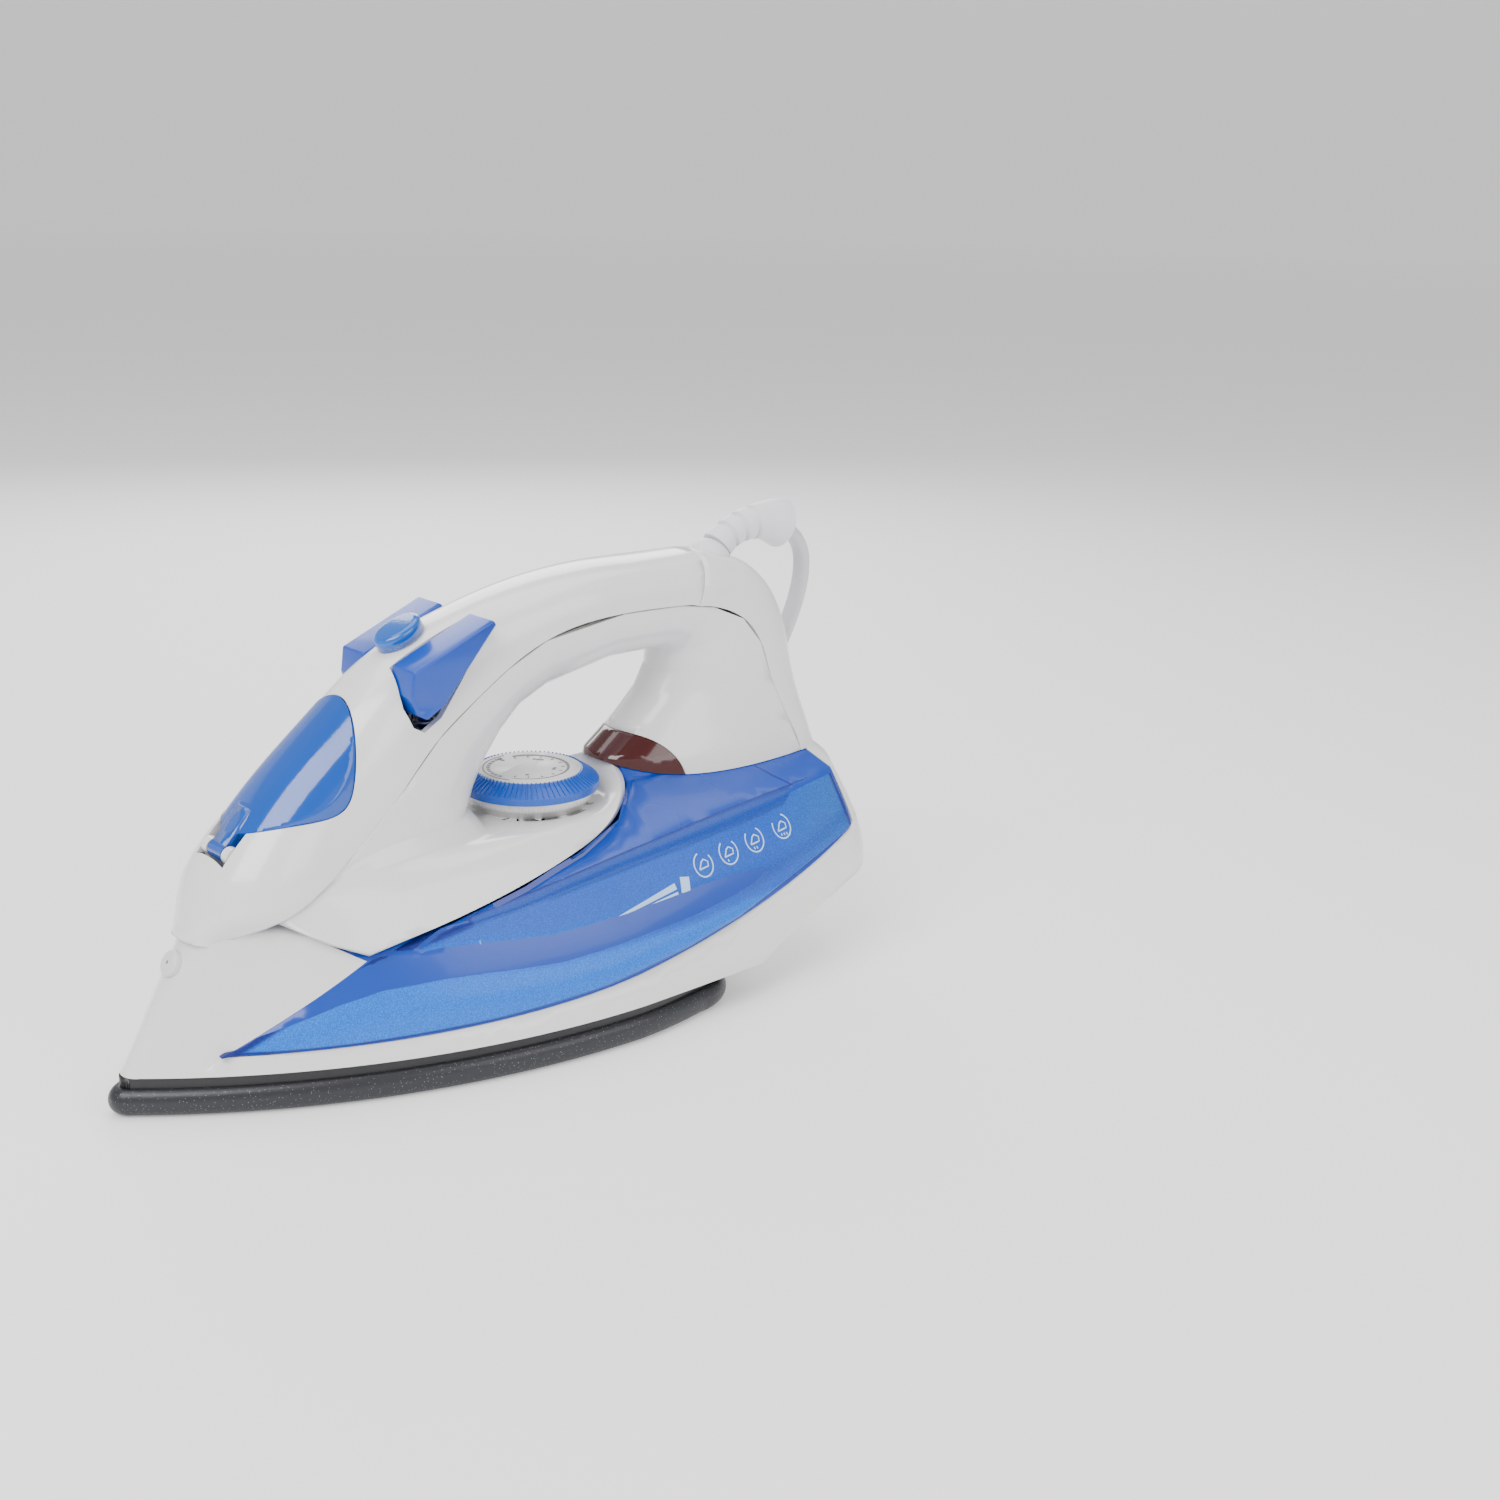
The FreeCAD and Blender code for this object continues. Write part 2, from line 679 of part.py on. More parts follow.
def inside_rows():
    edge = [(x, y, deck_height(x, y) + seam_gap) for x, y in platform_edge]
    floor = collar_bottom
    rows = [
        through(edge),
        through([(28.0, 56.5, 47.0), (30.5, 84, 56), (30, 110, 61), (27.5, 132, floor - 0.6),
                 (23, 153.5, floor), (12.8, 165.6, floor), (0, 169.2, floor)]),
        through([(20, 45, 53.8), (23, 72, 63), (22.5, 93, floor), (21, 107, floor), (16.5, 117, floor),
                 (9, 121.5, floor), (0, 123, floor)]),
        through([(20.5, 68, 67.7), (20.3, 80, 69), (20, 91, 70), (18.5, 101, 70.3), (15, 110, 70.3),
                 (8, 116, 70.2), (0, 118, 70)]),
        through([(20, 86.4, top(55.7)), (19.5, 93, 82), (18.5, 100, 80), (16.5, 107, 78.5), (13, 114, 77.3),
                 (7, 119, 76.5), (0, 120.5, 76.2)]),
        through([(18.5, 100.5, top(42.4)), (18, 104.5, 94.5), (17, 109, 91.3), (15, 114, 88),
                 (12, 119, 85.3), (6.5, 123, 83.6), (0, 124.5, 83)]),
    ]
    upper = [(17.0, 115.7, top(32.5), 131, 21.7),
             (16.3, 126.5, top(26.0), 123, 19.1),
             (16.0, 141.6, top(19.1), 106.7, 18.8)]
    for width, y, z, lean, reach in upper:
        rows.append(ring_row(width, y, z, lean, reach, True))
    for width, y, z, lean, _, reach in loop_stations[8:]:
        rows.append(ring_row(width, y, z, lean, reach, True))
    return rows


def lens_region(gap=0.0):
    """Side-view almond at the foot of the rear post, less a gap all round."""
    g = gap
    start = V(-90, 150 + g, 62)
    a = V(-90, 163 + g, 76.6)
    b = V(-90, 178, 82.6 - g)
    c = V(-90, 195 - g, 68)
    wire = Part.Wire([Part.LineSegment(start, a).toShape(), Part.Arc(a, b, c).toShape(),
                      Part.LineSegment(c, V(-90, 195 - g, 62)).toShape(),
                      Part.LineSegment(V(-90, 195 - g, 62), start).toShape()])
    return slab(wire)


def column_inside():
    shell = strips(inside_rows()[:grip_row + 1], -wall)
    seat = cylinder(collar_radius + 0.5, 30, V(0, dial_y, collar_bottom))
    return shell.cut(seat.common(box(-40, 40, 123.5, 180, 0, 90))).cut(cylinder(4.0, 60, V(0, dial_y, 40)))


def post_inside():
    return strips(inside_rows()[grip_row:], -wall).cut(under_deck(-seam_gap))


def inner_handle_shell():
    post = post_inside().cut(lens_region(0.0)).cut(rear_crest(wall + seam_gap))
    return solids_over(column_inside().cut(front_crest(wall + seam_gap)).fuse(post), 200.0)


def lamp_lens():
    return solids_over(post_inside().common(lens_region(0.2)), 20.0)


def indicator_lamp():
    return cylinder(lamp_radius, 7.0, V(0, back(65.0), 78.0), V(0, -0.5, 0.4))


def door_plug(grow, depth=40.0):
    """Oval column square to the door, used to cut the door and its opening."""
    oval = Part.Ellipse(V(0, 0, 0), door_length / 2 + grow, door_width / 2 + grow)
    plug = Part.Face(Part.Wire([oval.toShape()])).extrude(V(0, 0, depth))
    plug.rotate(V(0, 0, 0), V(0, 0, 1), 90)
    plug.rotate(V(0, 0, 0), V(1, 0, 0), door_tilt)
    plug.translate(door_middle - door_normal * depth / 2)
    return plug


def front_crest(thickness):
    """Wall over the brow and the front of the grip, before its openings are cut."""
    return sheet(crest_rows(front_places), thickness)


def upper_shell():
    shell = front_crest(wall)
    shell = shell.cut(door_plug(door_clear))
    for side in (-1, 1):
        shell = shell.cut(button_prism(side, slide_fit, button_travel + 0.6))
    shell = shell.cut(slider_slot())
    shell = shell.cut(hinge_notch())
    return solids_over(shell, 100.0)


def hinge_notch():
    round_seat = cylinder_x(6.3, -9, 9, hinge_at.y + 1.2, hinge_at.z + 1.0)
    return round_seat.common(box(-7.9, 7.9, 34.5, 46, 66.8, 80))


def rear_crest(thickness):
    return sheet(crest_rows(rear_places), thickness)


def rear_cover():
    shell = rear_crest(wall)
    shell = shell.cut(Part.makeSphere(ball_radius + cord_gap, ball_at)).cut(guard_sweep())
    shell = shell.cut(trunnions(trunnion_radius + turn_fit, ball_radius + 1.9))
    heel_front = back(tank_back - 1.3)
    heel = body_skin().common(box(-90, 90, heel_front, iron_length + 5, 20, 90))
    heel = heel.cut(below_skirt_line(-0.15))
    shell = shell.cut(under_height(56.0))
    shell = shell.cut(under_deck(-seam_gap).common(box(-90, 90, 0, heel_front, 0, 120)))
    return solids_over(shell.fuse(heel), 100.0)


def under_height(z):
    return box(-90, 90, -30, iron_length + 30, -10, z)


def filler_door():
    panel = sheet(door_rows(), 1.8).common(door_plug(0.0))
    arm = slab([(37.8, 73.6), (40.4, 69.4), (47.6, 77.2), (49.5, 82.0), (46.0, 83.0)], 4.0)
    knuckle = cylinder_x(2.7, -4.0, 4.0, hinge_at.y, hinge_at.z)
    door = panel.fuse(arm).fuse(knuckle)
    return solids_over(door.cut(cylinder_x(hinge_radius + turn_fit, -9, 9, hinge_at.y, hinge_at.z)), 20.0)


def door_rows():
    rows = []
    for place in (1, 1.5, 2, 3, 4, 5):
        width, y, z, lean, reach, _ = station_between(place)
        rows.append(ring_row(width + 0.6, y, z, lean, reach + 0.6, False))
    return rows


def door_hinge_pin():
    return cylinder_x(hinge_radius, -7.5, 7.5, hinge_at.y, hinge_at.z)


def hinge_lugs():
    lugs = []
    for x0 in (-7.5, 4.5):
        lug = cylinder_x(2.7, x0, x0 + 3.0, hinge_at.y, hinge_at.z)
        foot = slab([(36.4, 70.0), (41.2, 71.0), (45.5, 67.5), (39.0, 63.0)])
        lugs.append(lug.fuse(foot.common(box(x0, x0 + 3, 0, 100, 0, 120))))
    return Part.makeCompound(lugs).cut(cylinder_x(hinge_radius, -9, 9, hinge_at.y, hinge_at.z))


def filler_funnel():
    """Tray behind the door with the filler neck running down into the tank."""
    rows = []
    for place in (2, 2.5, 3, 3.5, 3.7):
        width, y, z, lean, reach, _ = station_between(place)
        rows.append(ring_row(width - 5.0, y, z, lean, (reach - 6.5) * 0.45, False))
    tray = sheet(rows, 1.6)
    neck = cylinder(neck_radius, 34.0, V(0, filler_y, 47.0))
    tray = tray.fuse(neck.cut(sheet(rows, 1.6)))
    cup = tray.cut(cylinder(neck_bore, 80, V(0, filler_y, 40)))
    return cup


# ---- controls ----

button_side = [(91.2, top(20.4)), (118.8, top(8.4)), (120.0, top(10.4)), (110.5, top(21.5)),
               (101.5, top(32.0)), (95.5, top(35.4)), (92.2, top(33.5)), (90.2, top(28.0))]


def outline_round(points):
    """Corners of the tightest convex outline round some y-z points."""
    def side_of(run):
        chain = []
        for y, z in run:
            while len(chain) > 1:
                (ay, az), (by, bz) = chain[-2:]
                if (by - ay) * (z - az) - (bz - az) * (y - ay) > 0:
                    break
                chain.pop()
            chain.append((y, z))
        return chain[:-1]
    ordered = sorted(points)
    return side_of(ordered) + side_of(ordered[::-1])


def button_prism(side, grow=0.0, fall=0.0):
    """Side profile of a button between its two side faces; grow and fall make its pocket."""
    cy = sum(p[0] for p in button_side) / len(button_side)
    cz = sum(p[1] for p in button_side) / len(button_side)
    points = []
    for y, z in button_side:
        away = V(0, y - cy, z - cz).normalize() * grow * 1.5
        points.append((y + away.y, z + away.z))
    if fall:
        points = outline_round(points + [(y, z - fall) for y, z in points])
    x0 = button_inner - grow
    x1 = button_outer + grow
    half = box(x0, x1, 0, 200, 0, 300) if side > 0 else box(-x1, -x0, 0, 200, 0, 300)
    return slab(points, 60.0).common(half)


def push_button(side):
    body = button_prism(side)
    body = body.makeFillet(0.9, [e for e in body.Edges if e.Length > 3])
    stem = cylinder(1.8, top(27.0) - stem_foot, V(side * pump_x, rod_y, stem_foot))
    return body.fuse(stem)


def pump_block():
    web = pump_outer - 0.6
    block = box(-pump_x, pump_x, rod_y - web, rod_y + web, pump_bottom, pump_top - 6)
    for side in (-1, 1):
        foot = V(side * pump_x, rod_y, pump_bottom)
        block = block.fuse(cylinder(pump_outer, pump_top - pump_bottom, foot))
    block = block.cut(cylinder(2.2, 60, V(0, rod_y, 60)))
    for side in (-1, 1):
        block = block.cut(cylinder(pump_bore, 60, V(side * pump_x, rod_y, pump_bottom + 4)))
        block = block.cut(cylinder(1.0, 10, V(side * pump_x, rod_y, pump_bottom - 2)))
    return block


def plunger(side):
    x = side * pump_x
    cup = cylinder(pump_bore - turn_fit, 7.0, V(x, rod_y, stem_foot - 6))
    return cup.cut(cylinder(1.8, 5, V(x, rod_y, stem_foot)))


def push_spring(side):
    low = pump_top + 0.1
    high = top(35.4) - 0.5
    turns = 4
    pitch = (high - low - 0.9) / (turns - 1)
    coils = []
    for i in range(turns):
        coils.append(Part.makeTorus(3.2, 0.45, V(side * pump_x, rod_y, low + 0.45 + i * pitch)))
    return Part.makeCompound(coils)



def slider_slot():
    reach = slider_travel + slide_fit
    start = V(0, slider_y - 3.0, slider_base - 14)
    slot = box(-2.2, 2.2, start.y - 3.2, start.y + 3.2 + 6.0, start.z, slider_top + 14)
    return slot.fuse(box(-2.2, 2.2, start.y, start.y + reach, start.z, slider_top + 14))


def steam_slider():
    """Oval cap on the crest of the grip with a tongue down through the slot."""
    oval = Part.Ellipse(V(0, 0, 0), 8.0, 6.3)
    cap = Part.Face(Part.Wire([oval.toShape()])).extrude(V(0, 0, 4.2))
    cap = rounded(cap, 1.6, lambda e: e.BoundBox.ZMin > 4)
    cap.rotate(V(0, 0, 0), V(0, 0, 1), 90)
    cap.rotate(V(0, 0, 0), V(1, 0, 0), math.degrees(math.atan2(slider_way.z, slider_way.y)))
    crest = crest_height(slider_y)
    cap.translate(V(0, slider_y, crest + seam_gap + 0.8))
    tongue = box(-1.8, 1.8, slider_y - 5.0, slider_y - 2.6, crest - 8.0, crest + 2.0)
    return cap.fuse(tongue)


def crest_height(y):
    """Height of the crest line over a station on the front of the handle."""
    crests = []
    for _, cy, cz, lean, reach, _ in loop_stations[2:9]:
        turn = math.radians(lean)
        crests.append((cy + reach * math.cos(turn), cz + reach * math.sin(turn)))
    for (y0, z0), (y1, z1) in zip(crests, crests[1:]):
        if y0 <= y <= y1:
            return z0 + (z1 - z0) * (y - y0) / (y1 - y0)
    return crests[-1][1]


def valve_rod():
    rod = cylinder(1.5, pump_top + 10 - rod_foot, V(0, rod_y, rod_foot))
    tip = Part.makeCone(0.4, 1.5, 1.6, V(0, rod_y, rod_foot - 1.6))
    return rod.fuse(tip)


def valve_seat():
    z = casting_height + 1.25
    seat = ring(5.0, 1.0, 1.4, V(0, rod_y, z))
    seat = seat.fuse(ring(5.0, 2.2, 5.0, V(0, rod_y, z + 1.4)))
    return seat.cut(Part.makeCone(0.6, 2.0, 1.5, V(0, rod_y, z + 0.4)))


def tank_seal():
    return ring(4.1, 1.5 + turn_fit, 3.0, V(0, rod_y, 52.0))


def suction_tube():
    return ring(2.0, 1.0, pump_bottom - 24.0, V(pump_x, rod_y, 24.0))


def burst_tube():
    return ring(2.0, 1.0, pump_bottom - casting_height - 2.0, V(-pump_x, rod_y, casting_height + 2.0))


def spray_tube():
    start = V(-pump_x, rod_y - pump_outer - 1.6, pump_bottom + 2)
    inlet = nozzle_at - nozzle_way * 8.2
    over_tank = [V(-13.5, 86, 66.8), V(-13, 66, 60.2), V(-9.5, 50.2, 57.6)]
    return tube([start] + over_tank + [V(-7.5, 48.8, 48.8), inlet], 1.1)


def dial_knob():
    z = dial_top - 5.9
    skirt_part = cylinder(dial_radius, 2.2, V(0, dial_y, z))
    bevel = Part.makeCone(dial_radius, dial_radius - 5.3, 3.4, V(0, dial_y, z + 2.2))
    knob = skirt_part.fuse(bevel).cut(cylinder(dial_radius - 5.9, 3, V(0, dial_y, dial_top - 1.3)))
    return knob.cut(cylinder(spindle_radius, 4, V(0, dial_y, z - 0.5)))


def dial_insert():
    return cylinder(dial_radius - 5.95, 1.25, V(0, dial_y, dial_top - 1.3))


def dial_spindle():
    foot = casting_height + 8.0
    return cylinder(spindle_radius, dial_top - 2.4 - foot, V(0, dial_y, foot))


def dial_collar():
    base = cylinder(collar_radius - 1.5, 2.4, V(0, dial_y, collar_bottom))
    rim = cylinder(collar_radius, dial_top - 6.3 - collar_bottom - 2.4, V(0, dial_y, collar_bottom + 2.4))
    return base.fuse(rim).cut(cylinder(spindle_radius + turn_fit, 20, V(0, dial_y, 60)))


# ---- wiring ----

def terminal_block():
    block = box(-13, 13, back(44), back(27), 88, 100)
    for x in (-8, 0, 8):
        block = block.cut(cylinder_x(1.6, x - 1, x + 1, back(35.5), 94))
        block = block.cut(cylinder(1.5, 9, V(x, back(40), 95)))
    return block


def cord_clamp():
    bar = box(-9, 9, back(40), back(31), 104, 108.5)
    groove = cylinder(cord_radius + 0.05, 20, V(0, back(45), 103.0), V(0, 1, 0))
    bar = bar.cut(groove)
    for x in (-6.5, 6.5):
        bar = bar.cut(cylinder(1.6, 9, V(x, back(35.5), 102)))
    return bar


def clamp_screws():
    screws = []
    for x in (-6.5, 6.5):
        head = cylinder(2.6, 1.6, V(x, back(35.5), 108.5))
        screws.append(head.fuse(cylinder(1.55, 8.3, V(x, back(35.5), 100.2))))
    return Part.makeCompound(screws)


def lead_wires():
    wires = []
    for side in (-1, 1):
        wires.append(cylinder(1.3, 88 - casting_height - 9, V(side * 5.0, wire_y, casting_height + 9)))
    return Part.makeCompound(wires)


def sole_screws():
    screws = []
    foot = casting_height + 0.05
    for x, y in sole_screw_places():
        seat = screw_seat(y)
        head = cylinder(3.0, screw_head, V(x, y, seat))
        screws.append(head.fuse(cylinder(1.5, seat - foot, V(x, y, foot))))
    return Part.makeCompound(screws)


# ---- cord guard ----

def guard_way(share):
    """Point on the guard's bent centre line, share 0 at the ball and 1 at the bell."""
    turn = math.radians(62.0 - 44.0 * share)
    reach = 34.0 * share
    return ball_at + V(0, reach * math.cos(turn) * 1.02, reach * math.sin(turn) * 0.92 + 1.0 * share)


def trunnions(radius, reach):
    """Pins on both sides of the ball, on the axis the guard swings about."""
    pins = []
    for x0, x1 in ((-reach, -ball_radius + 1.5), (ball_radius - 1.5, reach)):
        pins.append(cylinder_x(radius, x0, x1, ball_at.y, ball_at.z))
    return Part.makeCompound(pins)


def guard_ball():
    ball = Part.makeSphere(ball_radius, ball_at)
    away = (guard_way(0.3) - ball_at).normalize()
    ball = ball.fuse(trunnions(trunnion_radius, ball_radius + 1.6))
    ball = ball.cut(cylinder(cord_radius + 0.4, 40, ball_at - away * 20, away))
    return ball.cut(guard_sleeve())


def guard_solid(radii, first=0.22):
    rows = []
    steps = len(radii)
    for i, radius in enumerate(radii):
        share = first + (1.0 - first) * i / (steps - 1)
        middle = guard_way(share)
        along = (guard_way(min(share + 0.02, 1.0)) - guard_way(min(share, 0.98))).normalize()
        up = V(1, 0, 0).cross(along).normalize()
        row = []
        for k in range(17):
            a = 2 * math.pi * k / 16
            row.append(middle + V(1, 0, 0) * radius * math.cos(a) + up * radius * math.sin(a))
        row[-1] = row[0]
        rows.append(row)
    return skin(rows)


def guard_sleeve():
    outside = guard_solid([5.4, 5.3, 5.4, 5.8, 6.8, 8.4])
    return outside.cut(guard_solid([guard_bore] * 6, 0.12))


def guard_sweep():
    """Slot that the guard's neck sweeps in the rear cover."""
    profile = [(ball_at.y - 4.5, ball_at.z - 1), (ball_at.y - 10, ball_at.z + 20),
               (ball_at.y + 36, ball_at.z + 20), (ball_at.y + 15, ball_at.z - 0.5)]
    return slab(profile).common(box(-6.1, 6.1, 0, 300, 0, 300))


def guard_socket():
    """Cup under the ball, below its trunnions."""
    low = ball_at.z - 12.0
    block = cylinder(10.2, 9.4, V(0, ball_at.y, low))
    block = block.common(box(-9.4, 9.4, ball_at.y - 7.0, ball_at.y + 5.0, low, ball_at.z))
    block = block.cut(Part.makeSphere(ball_radius + seam_gap, ball_at))
    return solids_over(block.cut(cylinder(6.0, 30, V(0, ball_at.y, ball_at.z - 20))), 30.0)


# ---- power cord ----

def power_route():
    end = guard_way(1.0)
    return [end, end + V(0, 10.5, -5.5), V(-4, 269, 122), V(-16, 272, 98), V(-33, 273, 70),
            V(-52, 270, 40), V(-72, 262, 15), V(-96, 250, 3.8), V(-122, 245, 3.8), V(-141, 236.4, 3.8)]


def power_cord():
    return tube(power_route(), cord_radius)


def cord_coil():
    """Wound ring, with the ends of the cord let into it."""
    disc = cylinder(coil_radius + coil_half, coil_height, coil_middle + V(0, 0, coil_bottom))
    disc = disc.cut(cylinder(coil_radius - coil_half, 20, coil_middle))
    return disc.cut(power_cord()).cut(cord_tail())


def cord_tie():
    y = coil_middle.y - coil_radius
    x = coil_middle.x
    outer = box(x - 4, x + 4, y - 10.6, y + 10.6, 0.0, 19.4)
    return outer.cut(box(x - 9, x + 9, y - 9.4, y + 9.4, 1.2, 18.2))


tail_points = [V(-168, 184, 8), V(-169.5, 166, 8), V(-163, 149, 9),
               V(-151, 134, 12), V(-135, 124, 16), V(-118, 120, 18)]


def cord_tail():
    return tube(tail_points, cord_radius)


def plug_frame():
    along = (tail_points[-1] - tail_points[-2]).normalize()
    along.z = 0
    return tail_points[-1], along.normalize()


def plug_body():
    at, along = plug_frame()
    neck = Part.makeCone(cord_radius + 1.6, 8.0, 14, at, along)
    body = cylinder(18.0, 22.0, at + along * 14, along)
    body = body.makeFillet(4.0, [body.Edges[0], body.Edges[2]])
    return neck.fuse(body)


def plug_pins():
    at, along = plug_frame()
    side = V(-along.y, along.x, 0)
    pins = []
    for way in (-0.5, 0.5):
        pins.append(cylinder(plug_pin_radius, 19.0, at + along * 36 + side * way * plug_pin_pitch, along))
    return Part.makeCompound(pins)


parts = {
    "soleplate": soleplate, "heating_element": heating_element, "element_terminals": element_terminals,
    "steam_chamber_cover": steam_chamber_cover, "sole_screws": sole_screws, "thermostat": thermostat,
    "thermal_fuse": thermal_fuse, "heat_shield": heat_shield,
    "skirt": skirt, "nose_cover": nose_cover, "spray_nozzle": spray_nozzle, "water_tank": water_tank,
    "filler_funnel": filler_funnel, "tank_seal": tank_seal, "valve_seat": valve_seat,
    "suction_tube": suction_tube, "burst_tube": burst_tube, "spray_tube": spray_tube,
    "inner_handle_shell": inner_handle_shell, "upper_shell": upper_shell, "rear_cover": rear_cover,
    "lamp_lens": lamp_lens, "indicator_lamp": indicator_lamp, "hinge_lugs": hinge_lugs,
    "filler_door": filler_door, "door_hinge_pin": door_hinge_pin,
    "spray_button": lambda: push_button(-1), "burst_button": lambda: push_button(1),
    "pump_block": pump_block,
    "spray_plunger": lambda: plunger(-1), "burst_plunger": lambda: plunger(1),
    "spray_spring": lambda: push_spring(-1), "burst_spring": lambda: push_spring(1),
    "steam_slider": steam_slider, "valve_rod": valve_rod,
    "dial_knob": dial_knob, "dial_insert": dial_insert, "dial_spindle": dial_spindle,
    "dial_collar": dial_collar,
    "terminal_block": terminal_block, "cord_clamp": cord_clamp, "clamp_screws": clamp_screws,
    "lead_wires": lead_wires, "guard_socket": guard_socket, "guard_ball": guard_ball,
    "guard_sleeve": guard_sleeve, "power_cord": power_cord, "cord_coil": cord_coil, "cord_tie": cord_tie,
    "cord_tail": cord_tail, "plug_body": plug_body, "plug_pins": plug_pins,
}

if __name__ == "__main__":
    os.makedirs("parts", exist_ok=True)
    for name, make in parts.items():
        solid = make()
        solid.translate(V(0, -iron_length / 2, 0))
        solid.exportStep("parts/" + name + ".step")
        print(name, round(solid.Volume))
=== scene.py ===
import json
import math

import bmesh
import bpy
import numpy as np
from mathutils import Matrix, Vector
from mathutils.bvhtree import BVHTree


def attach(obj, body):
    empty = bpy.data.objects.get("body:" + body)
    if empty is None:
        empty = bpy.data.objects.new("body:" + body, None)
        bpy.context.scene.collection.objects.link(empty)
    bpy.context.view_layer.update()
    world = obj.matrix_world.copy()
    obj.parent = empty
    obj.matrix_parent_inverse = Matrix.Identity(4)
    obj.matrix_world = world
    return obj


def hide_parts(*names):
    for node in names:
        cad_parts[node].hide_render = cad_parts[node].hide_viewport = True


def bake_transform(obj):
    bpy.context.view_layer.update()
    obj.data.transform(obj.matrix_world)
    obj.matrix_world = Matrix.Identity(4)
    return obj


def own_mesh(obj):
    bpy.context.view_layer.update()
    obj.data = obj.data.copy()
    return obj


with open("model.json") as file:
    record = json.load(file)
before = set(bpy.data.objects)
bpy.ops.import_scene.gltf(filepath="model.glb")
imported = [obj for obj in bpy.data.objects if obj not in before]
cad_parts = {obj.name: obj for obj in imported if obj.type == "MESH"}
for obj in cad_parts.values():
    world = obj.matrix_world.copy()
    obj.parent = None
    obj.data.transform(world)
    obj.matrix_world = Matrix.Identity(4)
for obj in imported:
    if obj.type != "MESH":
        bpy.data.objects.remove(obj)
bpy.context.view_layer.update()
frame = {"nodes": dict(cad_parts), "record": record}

nodes = frame["nodes"]
noseToMiddle = 131.0     # mm from the soleplate's tip to the frame's origin


def at(x, y, z):
    # millimetres with y counted from the soleplate's tip, as a point in the frame
    return Vector((x, y - noseToMiddle, z)) / 1000


view = {"place": (0.4624, -0.3130, 0.2577), "lens": 43.99,
        "right": (0.669762, 0.742148, 0.025189), "up": (-0.236359, 0.180903, 0.954677),
        "back": (0.703955, -0.64536, 0.296576)}


def makeCamera():
    data = bpy.data.cameras.new("camera")
    data.lens = view["lens"]
    data.sensor_width = 36.0
    camera = bpy.data.objects.new("camera", data)
    bpy.context.scene.collection.objects.link(camera)
    turn = Matrix((view["right"], view["up"], view["back"])).transposed()
    camera.matrix_world = Matrix.Translation(view["place"]) @ turn.to_4x4()
    bpy.context.scene.camera = camera


lamps = {
    "key": {"place": (0.25, -0.75, 0.95), "size": 0.9, "watts": 13.5},
    "fill": {"place": (0.95, 0.25, 0.55), "size": 0.8, "watts": 4.0},
    "top": {"place": (-0.15, 0.10, 1.10), "size": 1.2, "watts": 8.0},
    "rim": {"place": (-0.80, 0.45, 0.55), "size": 0.7, "watts": 5.0},
}


def makeLight():
    for name, lamp in lamps.items():
        data = bpy.data.lights.new(name, "AREA")
        data.shape = "RECTANGLE"
        data.size = lamp["size"]
        data.size_y = lamp["size"] * 0.7
        data.energy = lamp["watts"]
        light = bpy.data.objects.new(name, data)
        bpy.context.scene.collection.objects.link(light)
        light.location = lamp["place"]
        light.rotation_euler = (-Vector(lamp["place"]) + Vector((0, 0, 0.05))).to_track_quat("-Z", "Y").to_euler()
    world = bpy.data.worlds.new("studio")
    world.use_nodes = True
    sky = world.node_tree.nodes["Background"]
    sky.inputs["Color"].default_value = (1.0, 1.0, 1.0, 1.0)
    sky.inputs["Strength"].default_value = 0.46
    bpy.context.scene.world = world


floorShape = {"flat": 9.0, "rim": 3.0, "around": 96}


def makeFloor():
    # round floor whose far edge curves up like a paper sweep
    profile = [(floorShape["flat"] * k / 6, 0.0) for k in range(1, 7)]
    for k in range(1, 13):
        turn = math.pi / 2 * k / 12
        profile.append((floorShape["flat"] + floorShape["rim"] * math.sin(turn),
                        floorShape["rim"] * (1 - math.cos(turn))))
    profile.append((profile[-1][0], floorShape["rim"] * 2))
    work = bmesh.new()
    count = floorShape["around"]
    centre = work.verts.new((0, 0, -0.0003))
    rings = []
    for r, z in profile:
        rings.append([work.verts.new((r * math.cos(2 * math.pi * i / count), r * math.sin(2 * math.pi * i / count),
                                      z - 0.0003)) for i in range(count)])
    for i in range(count):
        work.faces.new((centre, rings[0][i], rings[0][(i + 1) % count]))
    joinRings(work, rings)
    mesh = bpy.data.meshes.new("floor")
    work.to_mesh(mesh)
    work.free()
    for face in mesh.polygons:
        face.use_smooth = True
    floor = bpy.data.objects.new("floor", mesh)
    bpy.context.scene.collection.objects.link(floor)
    paper = plain("floorPaper", (0.86, 0.86, 0.86), 0.9)
    shader = paper.node_tree.nodes["Principled BSDF"]
    shader.inputs["Emission Color"].default_value = (1.0, 1.0, 1.0, 1.0)
    shader.inputs["Emission Strength"].default_value = 0.30
    floor.data.materials.append(paper)


def joinRings(work, rings):
    count = len(rings[0])
    for low, high in zip(rings, rings[1:]):
        for i in range(count):
            j = (i + 1) % count
            work.faces.new((low[i], high[i], high[j], low[j]))


def newMaterial(name):
    material = bpy.data.materials.new(name)
    material.use_nodes = True
    tree = material.node_tree
    return material, tree, tree.nodes["Principled BSDF"]


def plain(name, color, roughness):
    material, tree, shader = newMaterial(name)
    shader.inputs["Base Color"].default_value = (*color, 1.0)
    shader.inputs["Roughness"].default_value = roughness
    return material


def noiseOn(tree, scale, detail=3.0, coordinate="Object"):
    place = tree.nodes.new("ShaderNodeTexCoord")
    noise = tree.nodes.new("ShaderNodeTexNoise")
    noise.inputs["Scale"].default_value = scale
    noise.inputs["Detail"].default_value = detail
    tree.links.new(place.outputs[coordinate], noise.inputs["Vector"])
    return noise


